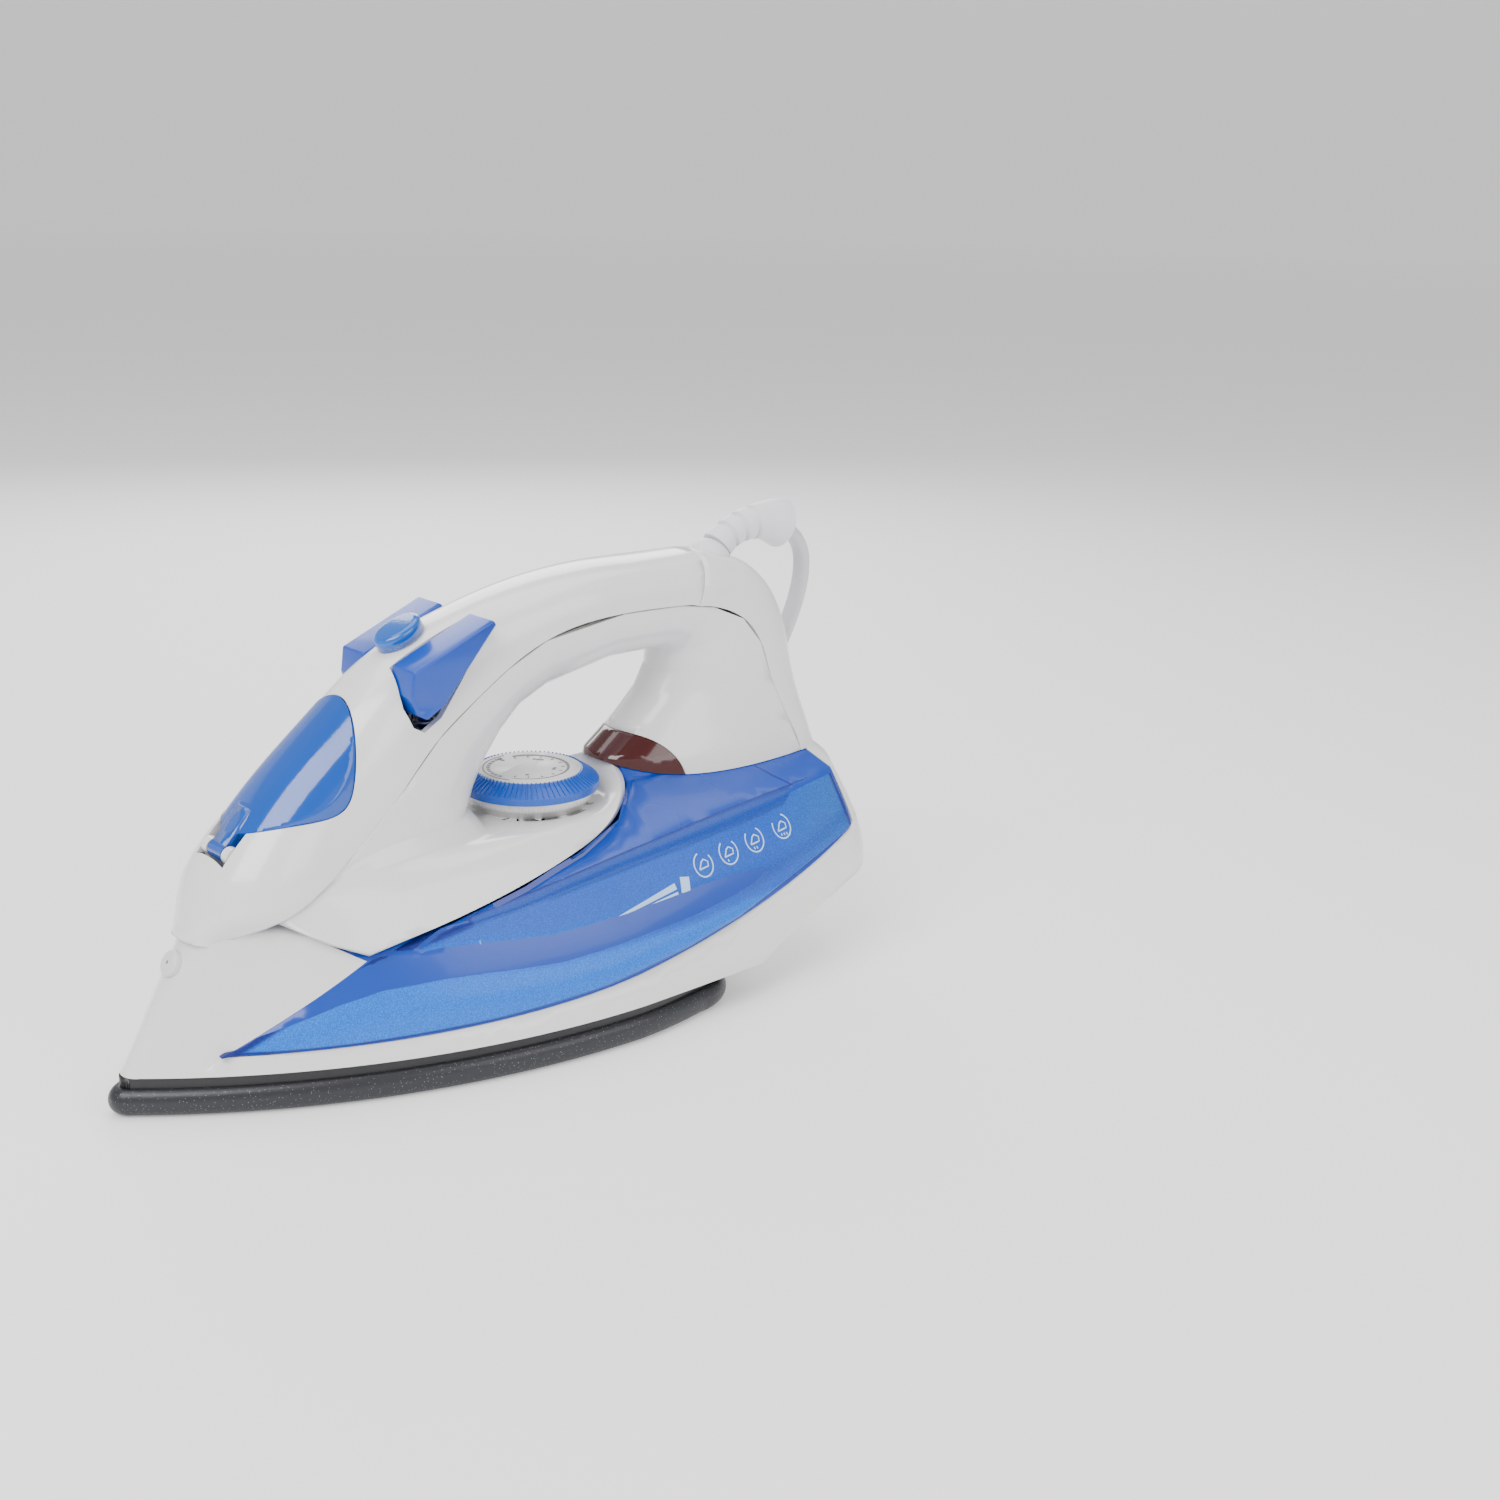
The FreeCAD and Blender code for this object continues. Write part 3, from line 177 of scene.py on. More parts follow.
def ramp(tree, source, stops):
    node = tree.nodes.new("ShaderNodeValToRGB")
    tree.links.new(source, node.inputs["Fac"])
    node.color_ramp.elements[0].position = stops[0][0]
    node.color_ramp.elements[0].color = stops[0][1]
    node.color_ramp.elements[1].position = stops[-1][0]
    node.color_ramp.elements[1].color = stops[-1][1]
    for place, color in stops[1:-1]:
        element = node.color_ramp.elements.new(place)
        element.color = color
    return node


def grey(value):
    return (value, value, value, 1.0)


def tint(color, k=1.0):
    return (color[0] * k, color[1] * k, color[2] * k, 1.0)


def moulded(name, color, roughness, coat=0.0, grain=0.15, scale=900.0, vary=0.04, metallic=0.0):
    # plastic with a fine grain, slight tone changes and uneven gloss
    material, tree, shader = newMaterial(name)
    slow = noiseOn(tree, 14.0)
    tone = ramp(tree, slow.outputs["Fac"], [(0.3, tint(color, 1 - vary)), (0.7, tint(color, 1 + vary))])
    tree.links.new(tone.outputs["Color"], shader.inputs["Base Color"])
    rough = ramp(tree, slow.outputs["Fac"], [(0.3, grey(roughness * 0.9)), (0.7, grey(roughness * 1.12))])
    tree.links.new(rough.outputs["Color"], shader.inputs["Roughness"])
    fine = noiseOn(tree, scale, 2.0)
    bump = tree.nodes.new("ShaderNodeBump")
    bump.inputs["Strength"].default_value = grain
    bump.inputs["Distance"].default_value = 0.0002
    tree.links.new(fine.outputs["Fac"], bump.inputs["Height"])
    tree.links.new(bump.outputs["Normal"], shader.inputs["Normal"])
    shader.inputs["Metallic"].default_value = metallic
    shader.inputs["Coat Weight"].default_value = coat
    shader.inputs["Coat Roughness"].default_value = 0.06
    return material


def clearPlastic(name, color, roughness, passes, grain=0.1):
    material = moulded(name, color, roughness, coat=0.6, grain=grain, vary=0.08)
    shader = material.node_tree.nodes["Principled BSDF"]
    shader.inputs["Transmission Weight"].default_value = passes
    shader.inputs["IOR"].default_value = 1.49
    return material


def paintedPlastic():
    # frosted blue whose tone, painted shade and painted highlight included, is painted on the mesh, with a fine
    # bright fleck in it
    material, tree, shader = newMaterial("tankSide")
    tone = tree.nodes.new("ShaderNodeAttribute")
    tone.attribute_name = "tone"
    fleck = noiseOn(tree, 2600.0, 2.0)
    spots = ramp(tree, fleck.outputs["Fac"], [(0.46, grey(0.86)), (0.62, grey(1.30))])
    mix = tree.nodes.new("ShaderNodeMix")
    mix.data_type = "RGBA"
    mix.blend_type = "MULTIPLY"
    mix.inputs["Factor"].default_value = 1.0
    tree.links.new(tone.outputs["Color"], mix.inputs["A"])
    tree.links.new(spots.outputs["Color"], mix.inputs["B"])
    tree.links.new(mix.outputs["Result"], shader.inputs["Base Color"])
    bump = tree.nodes.new("ShaderNodeBump")
    bump.inputs["Strength"].default_value = 0.12
    bump.inputs["Distance"].default_value = 0.0001
    tree.links.new(fleck.outputs["Fac"], bump.inputs["Height"])
    tree.links.new(bump.outputs["Normal"], shader.inputs["Normal"])
    shader.inputs["Roughness"].default_value = 0.38
    shader.inputs["Specular IOR Level"].default_value = 0.35
    shader.inputs["Coat Weight"].default_value = 0.12
    shader.inputs["Coat Roughness"].default_value = 0.12
    return material


def makeFinishes():
    f = {}
    f["white_shell"] = moulded("pearlWhite", (0.80, 0.79, 0.78), 0.22, coat=0.5, grain=0.03, vary=0.015)
    f["white_matte"] = moulded("satinWhite", (0.76, 0.76, 0.80), 0.42, grain=0.12)
    f["tank_blue"] = moulded("tankBlue", (0.0, 0.048, 0.38), 0.26, coat=0.2, grain=0.06)
    f["door_blue"] = clearPlastic("doorBlue", (0.0, 0.125, 0.66), 0.12, 0.45)
    f["button_blue"] = moulded("buttonBlue", (0.0, 0.055, 0.42), 0.30, coat=0.2, grain=0.05)
    f["slider_clear"] = clearPlastic("sliderBlue", (0.0, 0.15, 0.65), 0.08, 0.35)
    f["dial_blue"] = moulded("dialBlue", (0.0, 0.075, 0.46), 0.30, coat=0.2, grain=0.05)
    f["dial_white"] = moulded("dialWhite", (0.80, 0.80, 0.80), 0.35, grain=0.05)
    f["spindle_grey"] = moulded("greyPlastic", (0.70, 0.70, 0.71), 0.4)
    f["black_plastic"] = moulded("blackPlastic", (0.012, 0.012, 0.014), 0.35)
    f["sole_metal"] = soleCoating()
    for slot, color, rough in (("element_steel", (0.30, 0.28, 0.26), 0.4), ("bare_metal", (0.6, 0.6, 0.6), 0.3),
                               ("screw_steel", (0.6, 0.6, 0.62), 0.25), ("thermostat_metal", (0.5, 0.47, 0.40), 0.35),
                               ("spring_steel", (0.5, 0.5, 0.52), 0.3), ("pin_brass", (0.72, 0.55, 0.25), 0.25)):
        f[slot] = moulded(slot + "Metal", color, rough, grain=0.2, scale=1500.0, metallic=1.0)
    f["silicone"] = moulded("silicone", (0.72, 0.70, 0.66), 0.5)
    f["lens_red"] = moulded("lensRed", (0.055, 0.003, 0.003), 0.12, coat=0.6, grain=0.05)
    f["lamp_glass"] = clearPlastic("lampGlass", (0.8, 0.3, 0.15), 0.05, 0.8)
    f["lead_sleeve"] = moulded("leadSleeve", (0.62, 0.60, 0.54), 0.8, grain=0.5)
    f["cord_grey"] = moulded("cordGrey", (0.62, 0.62, 0.65), 0.45, grain=0.2)
    f["tie_black"] = moulded("tieBlack", (0.02, 0.02, 0.02), 0.5)
    f["tankSide"] = paintedPlastic()
    f["print"] = moulded("printInk", (0.46, 0.66, 0.92), 0.5, grain=0.05)
    f["levelInk"] = moulded("levelInk", (0.10, 0.32, 0.80), 0.4, grain=0.05)
    f["darkPrint"] = moulded("darkInk", (0.03, 0.03, 0.035), 0.5, grain=0.05)
    # dark blue for the painted platform shadow on the deck and for the inner wall line
    f["tankShadowAndWall"] = moulded("tankShadowAndWall", (0.0, 0.018, 0.24), 0.25, coat=0.4, grain=0.05)
    f["plug_white"] = moulded("plugGrey", (0.66, 0.66, 0.68), 0.4)
    return f


def soleCoating():
    # dark non-stick coating with fine bright flecks
    material, tree, shader = newMaterial("soleCoating")
    fleck = tree.nodes.new("ShaderNodeTexVoronoi")
    fleck.inputs["Scale"].default_value = 1300.0
    place = tree.nodes.new("ShaderNodeTexCoord")
    tree.links.new(place.outputs["Object"], fleck.inputs["Vector"])
    spots = ramp(tree, fleck.outputs["Distance"], [(0.04, (0.42, 0.42, 0.44, 1)), (0.16, (0.030, 0.031, 0.036, 1))])
    tree.links.new(spots.outputs["Color"], shader.inputs["Base Color"])
    fine = noiseOn(tree, 1600.0)
    bump = tree.nodes.new("ShaderNodeBump")
    bump.inputs["Strength"].default_value = 0.25
    bump.inputs["Distance"].default_value = 0.0001
    tree.links.new(fine.outputs["Fac"], bump.inputs["Height"])
    tree.links.new(bump.outputs["Normal"], shader.inputs["Normal"])
    rough = ramp(tree, fine.outputs["Fac"], [(0.3, grey(0.28)), (0.7, grey(0.42))])
    tree.links.new(rough.outputs["Color"], shader.inputs["Roughness"])
    shader.inputs["Metallic"].default_value = 0.35
    return material


makeCamera()
makeLight()
makeFloor()
finishes = makeFinishes()
print("camera, light and finishes made")

slotOf = {part["node"]: part["material_slot"] for part in frame["record"]["subparts"]}
bodyOf = {name: body for body, members in frame["record"]["behaviour"]["bodies"].items() for name in members}


def setFinish(piece, material):
    piece.data.materials.clear()
    piece.data.materials.append(material)


def smoothByAngle(mesh, degrees):
    for face in mesh.polygons:
        face.use_smooth = True
    mesh.set_sharp_from_angle(angle=math.radians(degrees))


def refined(name, degrees=32.0):
    # merged and smoothly shaded copy of a CAD node that stands for it
    mesh = nodes[name].data.copy()
    work = bmesh.new()
    work.from_mesh(mesh)
    bmesh.ops.remove_doubles(work, verts=work.verts, dist=0.00001)
    bmesh.ops.dissolve_degenerate(work, edges=work.edges, dist=0.00001)
    work.to_mesh(mesh)
    work.free()
    mesh.name = name + "_look"
    piece = bpy.data.objects.new(name + "_look", mesh)
    bpy.context.scene.collection.objects.link(piece)
    smoothByAngle(mesh, degrees)
    setFinish(piece, finishes[slotOf[name]])
    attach(piece, bodyOf[name])
    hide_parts(name)
    return piece


for name in nodes:
    setFinish(nodes[name], finishes[slotOf[name]])
for name in nodes:
    if name not in ("power_cord", "cord_coil", "cord_tail"):
        refined(name)
# each pump spring gets a mesh of its own
for push, side in (("spray", -1), ("burst", 1)):
    spring = bpy.data.objects[push + "_spring_look"]
    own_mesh(spring)
print("CAD nodes finished")


def addPiece(name, mesh, material, body, degrees=32.0):
    smoothByAngle(mesh, degrees)
    piece = bpy.data.objects.new(name, mesh)
    bpy.context.scene.collection.objects.link(piece)
    setFinish(piece, material)
    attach(piece, body)
    return piece


def meshFrom(name, work):
    bmesh.ops.recalc_face_normals(work, faces=work.faces)
    mesh = bpy.data.meshes.new(name)
    work.to_mesh(mesh)
    work.free()
    return mesh


def treeOf(piece):
    turn = piece.matrix_world
    corners = [turn @ v.co for v in piece.data.vertices]
    return BVHTree.FromPolygons(corners, [f.vertices[:] for f in piece.data.polygons])


tankTree = treeOf(nodes["water_tank"])


def surfaceHit(tree, start, way):
    # first place on a surface met from start (mm, from the tip) in a direction
    place = tree.ray_cast(at(*start), Vector(way))[0]
    return (place.x * 1000, place.y * 1000 + noseToMiddle, place.z * 1000) if place else None


# heights (mm) of the tank's lines against distance from the tip
tankLines = {
    "low": [(25.5, 17.2), (60, 17.3), (100, 18.4), (135, 20.4), (168, 24.4), (190, 28.9), (245, 47.4)],
    "high": [(25.5, 17.6), (30, 18.4), (46.4, 28.0), (64.5, 38.6), (67.5, 40.2), (98, 47.6), (130, 52.6), (155, 55.6),
             (184, 58.8), (213, 61.7), (245, 64.6)],
    "belly": [(25.5, 17.6), (46, 25.5), (66.4, 31.9), (93, 32.3), (121, 30.3), (174, 31.2), (213, 36.0),
              (245, 48.5)],
    "sweep": [(25.5, 18.3), (46.4, 27.0), (57, 31.9), (70, 35.2), (85, 36.2), (98, 35.8), (121.7, 34.1),
              (143, 34.9), (171, 36.8), (198.7, 39.2), (219, 43.6), (245, 52.0)],
    "paintedHighlight": [(25.5, 18.8), (57, 34.5), (86.2, 40.2), (99.3, 39.8), (118, 38.5), (133, 38.3), (171, 41.5),
               (245, 54)],
    "band": [(25.5, 18.9), (66.6, 39.6), (98, 45.6), (128, 49.2), (152.9, 51.6), (179.4, 54.2), (208, 57.0),
             (219, 58.6), (226, 62.6), (245, 65.2)],
}
# colours along those lines: the sweep colour is painted shade in the hollow, and the light colour just above it is a
# painted highlight
tankTones = {"band": (0.002, 0.050, 0.33), "face": (0.0, 0.080, 0.48), "sweep": (0.0, 0.028, 0.26),
             "belly": (0.0, 0.145, 0.66), "rear": (0.014, 0.110, 0.42), "edge": (0.0, 0.012, 0.18),
             "paintedHighlight": (0.0, 0.125, 0.60)}


def lineAt(name, y):
    points = tankLines[name]
    for (y0, z0), (y1, z1) in zip(points, points[1:]):
        if y <= y1:
            return z0 + (z1 - z0) * (y - y0) / (y1 - y0)
    return points[-1][1]


def easeIn(value, low, high):
    t = min(max((value - low) / (high - low), 0.0), 1.0)
    return t * t * (3 - 2 * t)


def mixed(a, b, share):
    return tuple(x + (y - x) * share for x, y in zip(a, b))


def tankTone(y, z):
    # colour of the tank's side, with a painted shade along the swept hollow and a painted highlight just above it,
    # and how far it stands out (mm)
    low, high = lineAt("low", y), lineAt("high", y)
    belly, sweep, paintedHighlight, band = (lineAt(n, y) for n in ("belly", "sweep", "paintedHighlight", "band"))
    tones = tankTones
    fade = 1 - easeIn(y, 165, 225)
    body = mixed(tones["face"], tones["rear"], easeIn(y, 205, 245))
    # painted highlight: a lighter line just above the hollow, strongest in the middle of the side
    lit = math.exp(-((z - paintedHighlight) / 1.8) ** 2) * easeIn(y, 60, 85) * (1 - easeIn(y, 120, 175))
    tone = mixed(body, tones["paintedHighlight"], lit)
    # painted shade: the sweep colour darkens the side along the hollow, less towards the rear
    tone = mixed(tone, tones["sweep"], math.exp(-((z - sweep) / 2.4) ** 2) * (0.35 + 0.65 * fade))
    lowest = mixed(tones["belly"], tones["face"], easeIn(y, 185, 240))
    tone = mixed(tone, lowest, 1 - easeIn(z, belly - 0.8, belly + 1.8))
    inBand = easeIn(z, band - 0.35, band + 0.35)
    tone = mixed(tone, tones["band"], inBand)
    rim = max(1 - (z - low) / 0.9, 1 - (high - z) / (2.6 if y < 98 else 0.5), 1 - (245 - y) / 2.2)
    tone = mixed(tone, tones["edge"], easeIn(rim, 0.0, 0.6))
    out = 0.30 + 0.35 * inBand - 1.1 * math.exp(-((z - sweep) / 4.2) ** 2) * (0.3 + 0.7 * fade)
    out += 0.9 * math.exp(-((z - (belly + low) / 2) / 6.0) ** 2)
    return tone, out


sideGrid = {"along": 230, "up": 56, "depth": 1.6}


def makeTankSides():
    # the tank's frosted sides, with the swept hollow and the raised band under the crease, coloured with painted
    # shade along the hollow and a painted highlight above it
    work = bmesh.new()
    layer = work.verts.layers.float_color.new("tone")
    along, up = sideGrid["along"], sideGrid["up"]
    for side in (-1, 1):
        front = np.zeros((along + 1, up + 1))
        places = []
        for i in range(along + 1):
            y = 25.5 + (245 - 25.5) * i / along
            low, high = lineAt("low", y), lineAt("high", y)
            row = []
            for j in range(up + 1):
                z = low + (high - low) * j / up
                hit = surfaceHit(tankTree, (side * 90, y, z), (-side, 0, 0))
                front[i, j] = abs(hit[0]) if hit and abs(hit[0]) > 12 else np.nan
                row.append((y, z))
            places.append(row)
        for i in range(along + 1):
            good = ~np.isnan(front[i])
            if good.any():
                front[i] = np.interp(np.arange(up + 1), np.arange(up + 1)[good], front[i][good])
            else:
                front[i] = front[i - 1] if i else 19.0
        for _ in range(6):
            front[1:-1, :] = (front[:-2, :] + 2 * front[1:-1, :] + front[2:, :]) / 4
            front[:, 1:-1] = (front[:, :-2] + 2 * front[:, 1:-1] + front[:, 2:]) / 4
        outer, inner = [], []
        for i in range(along + 1):
            outRow, inRow = [], []
            for j in range(up + 1):
                y, z = places[i][j]
                tone, out = tankTone(y, z)
                edge = min(i, along - i, j, up - j)
                lift = out * easeIn(edge, -0.5, 3.0) if edge < 3 else out
                vert = work.verts.new(at(side * (front[i, j] + lift), y, z))
                vert[layer] = (*tone, 1.0)
                outRow.append(vert)
                deep = work.verts.new(at(side * (front[i, j] - sideGrid["depth"]), y, z))
                deep[layer] = (*tone, 1.0)
                inRow.append(deep)
            outer.append(outRow)
            inner.append(inRow)
        closeSheet(work, outer, inner)
    mesh = meshFrom("tankSides", work)
    piece = addPiece("tankSides", mesh, finishes["tankSide"], "housing", 50.0)
    return piece


def closeSheet(work, outer, inner):
    # faces over two grids of vertices and round their shared border
    for grid in (outer, inner):
        for a, b in zip(grid, grid[1:]):
            for j in range(len(a) - 1):
                work.faces.new((a[j], b[j], b[j + 1], a[j + 1]))
    last = len(outer) - 1
    for i in range(last):
        work.faces.new((outer[i][0], outer[i + 1][0], inner[i + 1][0], inner[i][0]))
        work.faces.new((outer[i][-1], outer[i + 1][-1], inner[i + 1][-1], inner[i][-1]))
    for j in range(len(outer[0]) - 1):
        work.faces.new((outer[0][j], outer[0][j + 1], inner[0][j + 1], inner[0][j]))
        work.faces.new((outer[last][j], outer[last][j + 1], inner[last][j + 1], inner[last][j]))


def strokes(name, lines, place, material, body):
    # thin raised marks: each line is (points, widths) in the two directions that place() maps
    work = bmesh.new()
    for points, widths in lines:
        outer, inner = [], []
        for k, (u, v) in enumerate(points):
            before = points[max(k - 1, 0)]
            after = points[min(k + 1, len(points) - 1)]
            du, dv = after[0] - before[0], after[1] - before[1]
            size = math.hypot(du, dv)
            nu, nv = -dv / size, du / size
            half = widths[min(k, len(widths) - 1)] / 2
            sides = [(u + nu * half * s, v + nv * half * s) for s in (-1, 0, 1)]
            outer.append([work.verts.new(place(a, b, 0.07)) for a, b in sides])
            inner.append([work.verts.new(place(a, b, -0.25)) for a, b in sides])
        closeSheet(work, outer, inner)
    mesh = meshFrom(name, work)
    return addPiece(name, mesh, material, body, 40.0)


def evenly(points, step=1.0):
    # the same line with more points on it
    out = [points[0]]
    for a, b in zip(points, points[1:]):
        count = max(int(math.dist(a, b) / step), 1)
        for k in range(1, count + 1):
            out.append(tuple(p + (q - p) * k / count for p, q in zip(a, b)))
    return out


def arc(centre, radius, start, end, count=18):
    line = []
    for k in range(count + 1):
        turn = math.radians(start + (end - start) * k / count)
        line.append((centre[0] + radius * math.cos(turn), centre[1] + radius * math.sin(turn)))
    return line


def onSide(sides):
    # places on the outer side of the tank, from distance and height
    tree = treeOf(sides)

    def place(y, z, lift):
        hit = surfaceHit(tree, (90, y, z), (-1, 0, 0))
        return at((hit[0] if hit else 45.0) + lift, y, z)
    return place


def onDeck(x, y, lift):
    hit = surfaceHit(tankTree, (x, y, 110), (0, 0, -1))
    z = hit[2] if hit else 60.0
    return at(x, y, z + lift)


icons = {"centres": [(180.2, 47.6), (191.1, 49.3), (202.6, 50.9), (215.1, 52.7)], "radius": 3.6, "pen": 0.42}


def makeTankPrints(sides):
    # level line, steam wedge and four pictograms, printed on the near side only
    lines = []
    r = icons["radius"]
    for k, (y, z) in enumerate(icons["centres"]):
        lines.append((arc((y, z), r, -250 + 15 * k, 40 + 10 * k, 30), [icons["pen"]]))
        iron = [(y - 1.9, z - 1.2), (y + 1.7, z - 0.7), (y + 1.9, z + 0.7), (y + 0.4, z + 1.5), (y - 0.6, z + 0.9),
                (y - 1.9, z - 1.2)]
        lines.append((evenly(iron, 0.8), [0.4]))
        for dot in range(k):
            lines.append(([(y - 1.0 + dot * 1.1, z - 2.0), (y - 0.8 + dot * 1.1, z - 2.7)], [0.4]))
    upper = evenly([(133.2, 36.9), (167.6, 43.6)], 1.5)
    lower = evenly([(134.0, 36.8), (168.0, 41.3)], 1.5)
    lines.append((upper, [0.1 + 1.9 * k / len(upper) for k in range(len(upper))]))
    lines.append((lower, [0.1 + 1.1 * k / len(lower) for k in range(len(lower))]))
    lines.append((evenly([(171.7, 45.6), (171.0, 41.0)], 0.8), [3.4]))
    place = onSide(sides)
    strokes("tankPrints", lines, place, finishes["print"], "housing")
    level = [(evenly([(98.2, 41.4), (97.5, 33.6)], 0.8), [0.45])]
    for z in (34.5, 36.8, 39.1):
        level.append((evenly([(99.0, z), (102.2, z + 0.3)], 0.8), [0.4]))
    strokes("levelMark", level, place, finishes["levelInk"], "housing")


def makeTankShadowAndWall():
    # dark lines on the deck: a painted shadow of the platform along its edge, and the tank's inner wall showing
    # through near the rear
    edge = [(33.5, 66.5), (36.1, 80), (36.9, 92), (37.0, 106), (36.9, 118), (35.8, 130), (34.2, 141), (31.2, 151),
            (28.0, 159.5), (22.5, 167), (16.0, 172.4), (8, 175.2), (0, 176.2)]
    lines = []
    for side in (-1, 1):
        # painted shadow of the platform along its edge on the deck
        lines.append((evenly([(side * x, y) for x, y in edge[3:]], 2.0), [1.6]))
        wall = [(side * 24.5, 222.0), (side * 31.0, 224.2), (side * 36.0, 226.5), (side * 38.0, 226.8)]
        lines.append((evenly(wall, 1.5), [0.8]))
    strokes("tankEdges", lines, onDeck, finishes["tankShadowAndWall"], "housing")


dial = {"y": 145.6, "top": 75.5, "radius": 22.5, "ribs": 76}


def makeDialMarks():
    # heat scale on the white disc: a swelling arc, ticks and dots
    def place(u, v, lift):
        return at(u, dial["y"] + v, dial["top"] - 0.05 + lift)
    lines = []
    sweep = arc((0, 0), 12.6, -60, 170, 60)
    lines.append((sweep, [0.35 + 1.0 * k / len(sweep) for k in range(len(sweep))]))
    for turn in range(-60, 171, 23):
        lines.append(([arc((0, 0), r, turn, turn + 1, 1)[0] for r in (10.2, 11.4)], [0.5]))
    for group, turn in ((1, -40), (2, 35), (3, 115)):
        for k in range(group):
            lines.append((arc(arc((0, 0), 8.3, turn + 9 * k, 1, 1)[0], 0.35, 0, 330, 12), [0.7]))
    lines.append((arc((0, 0), 14.9, 178, 300, 40), [0.45]))
    lines.append(([(-13.2, -3.4), (-10.4, -2.6)], [1.0]))
    for k in range(11):
        turn = 190 + k * 9
        lines.append(([arc((0, 0), r, turn, turn + 1, 1)[0] for r in (12.6, 13.8)], [1.3]))
    strokes("dialMarks", lines, place, finishes["darkPrint"], "dial")


def makeDialRibs():
    # fine grip ribs round the bevel, laid out by geometry nodes
    bar = bmesh.new()
    for x, y, z in ((0, 0, 0), (5.0, 0, -3.3), (5.35, 0, -5.0)):
        for side in (-0.28, 0.28):
            bar.verts.new((x / 1000, side / 1000, z / 1000))
            bar.verts.new((x / 1000, side / 2000, (z + 0.42) / 1000))
    bmesh.ops.convex_hull(bar, input=bar.verts)
    barMesh = meshFrom("dialRib", bar)
    barPiece = bpy.data.objects.new("dialRib", barMesh)
    group = bpy.data.node_groups.new("ringOfRibs", "GeometryNodeTree")
    group.interface.new_socket("Geometry", in_out="INPUT", socket_type="NodeSocketGeometry")
    group.interface.new_socket("Geometry", in_out="OUTPUT", socket_type="NodeSocketGeometry")
    count = group.interface.new_socket("Ribs", in_out="INPUT", socket_type="NodeSocketInt")
    radius = group.interface.new_socket("Radius", in_out="INPUT", socket_type="NodeSocketFloat")
    rib = group.interface.new_socket("Rib", in_out="INPUT", socket_type="NodeSocketObject")
    paint = group.interface.new_socket("Finish", in_out="INPUT", socket_type="NodeSocketMaterial")
    new = group.nodes.new
    link = group.links.new
    source, result = new("NodeGroupInput"), new("NodeGroupOutput")
    circle, info = new("GeometryNodeMeshCircle"), new("GeometryNodeObjectInfo")
    spread, index = new("GeometryNodeInstanceOnPoints"), new("GeometryNodeInputIndex")
    share, turn, angle = new("ShaderNodeMath"), new("ShaderNodeMath"), new("ShaderNodeCombineXYZ")
    real, finish = new("GeometryNodeRealizeInstances"), new("GeometryNodeSetMaterial")
    share.operation = "DIVIDE"
    turn.operation = "MULTIPLY"
    turn.inputs[1].default_value = 2 * math.pi
    link(source.outputs["Ribs"], circle.inputs["Vertices"])
    link(source.outputs["Radius"], circle.inputs["Radius"])
    link(index.outputs[0], share.inputs[0])
    link(source.outputs["Ribs"], share.inputs[1])
    link(share.outputs[0], turn.inputs[0])
    link(turn.outputs[0], angle.inputs["Z"])
    link(source.outputs["Rib"], info.inputs["Object"])
    link(circle.outputs["Mesh"], spread.inputs["Points"])
    link(info.outputs["Geometry"], spread.inputs["Instance"])
    link(angle.outputs[0], spread.inputs["Rotation"])
    link(spread.outputs["Instances"], real.inputs["Geometry"])
    link(real.outputs["Geometry"], finish.inputs["Geometry"])
    link(source.outputs["Finish"], finish.inputs["Material"])
    link(finish.outputs["Geometry"], result.inputs["Geometry"])
    holder = bpy.data.objects.new("ribHolder", bpy.data.meshes.new("ribHolder"))
    bpy.context.scene.collection.objects.link(holder)
    bpy.context.scene.collection.objects.link(barPiece)
    modifier = holder.modifiers.new("ribs", "NODES")
    modifier.node_group = group
    modifier[count.identifier] = dial["ribs"]
    modifier[radius.identifier] = (dial["radius"] - 5.3) / 1000
    modifier[rib.identifier] = barPiece
    modifier[paint.identifier] = finishes["dial_blue"]
    bpy.context.view_layer.update()
    mesh = bpy.data.meshes.new_from_object(holder.evaluated_get(bpy.context.evaluated_depsgraph_get()))
    mesh.name = "dialRibs"
    bpy.data.objects.remove(holder)
    bpy.data.objects.remove(barPiece)
    mesh.transform(Matrix.Translation(at(0, dial["y"], dial["top"] - 0.25)))
    addPiece("dialRibs", mesh, finishes["dial_blue"], "dial")


guard = {"ball": (0, 219.5, 133.5), "around": 40, "steps": 150,
         "radii": [(0.22, 5.6), (0.33, 5.3), (0.5, 5.3), (0.66, 5.7), (0.82, 6.7), (0.92, 7.9), (1.0, 8.7)],
         "slots": [0.37, 0.52, 0.67], "bore": 3.2}


def guardPath(share):
    turn = math.radians(62.0 - 44.0 * share)
    reach = 34.0 * share
    x, y, z = guard["ball"]
    return Vector((x, y + reach * math.cos(turn) * 1.02, z + reach * math.sin(turn) * 0.92 + share))


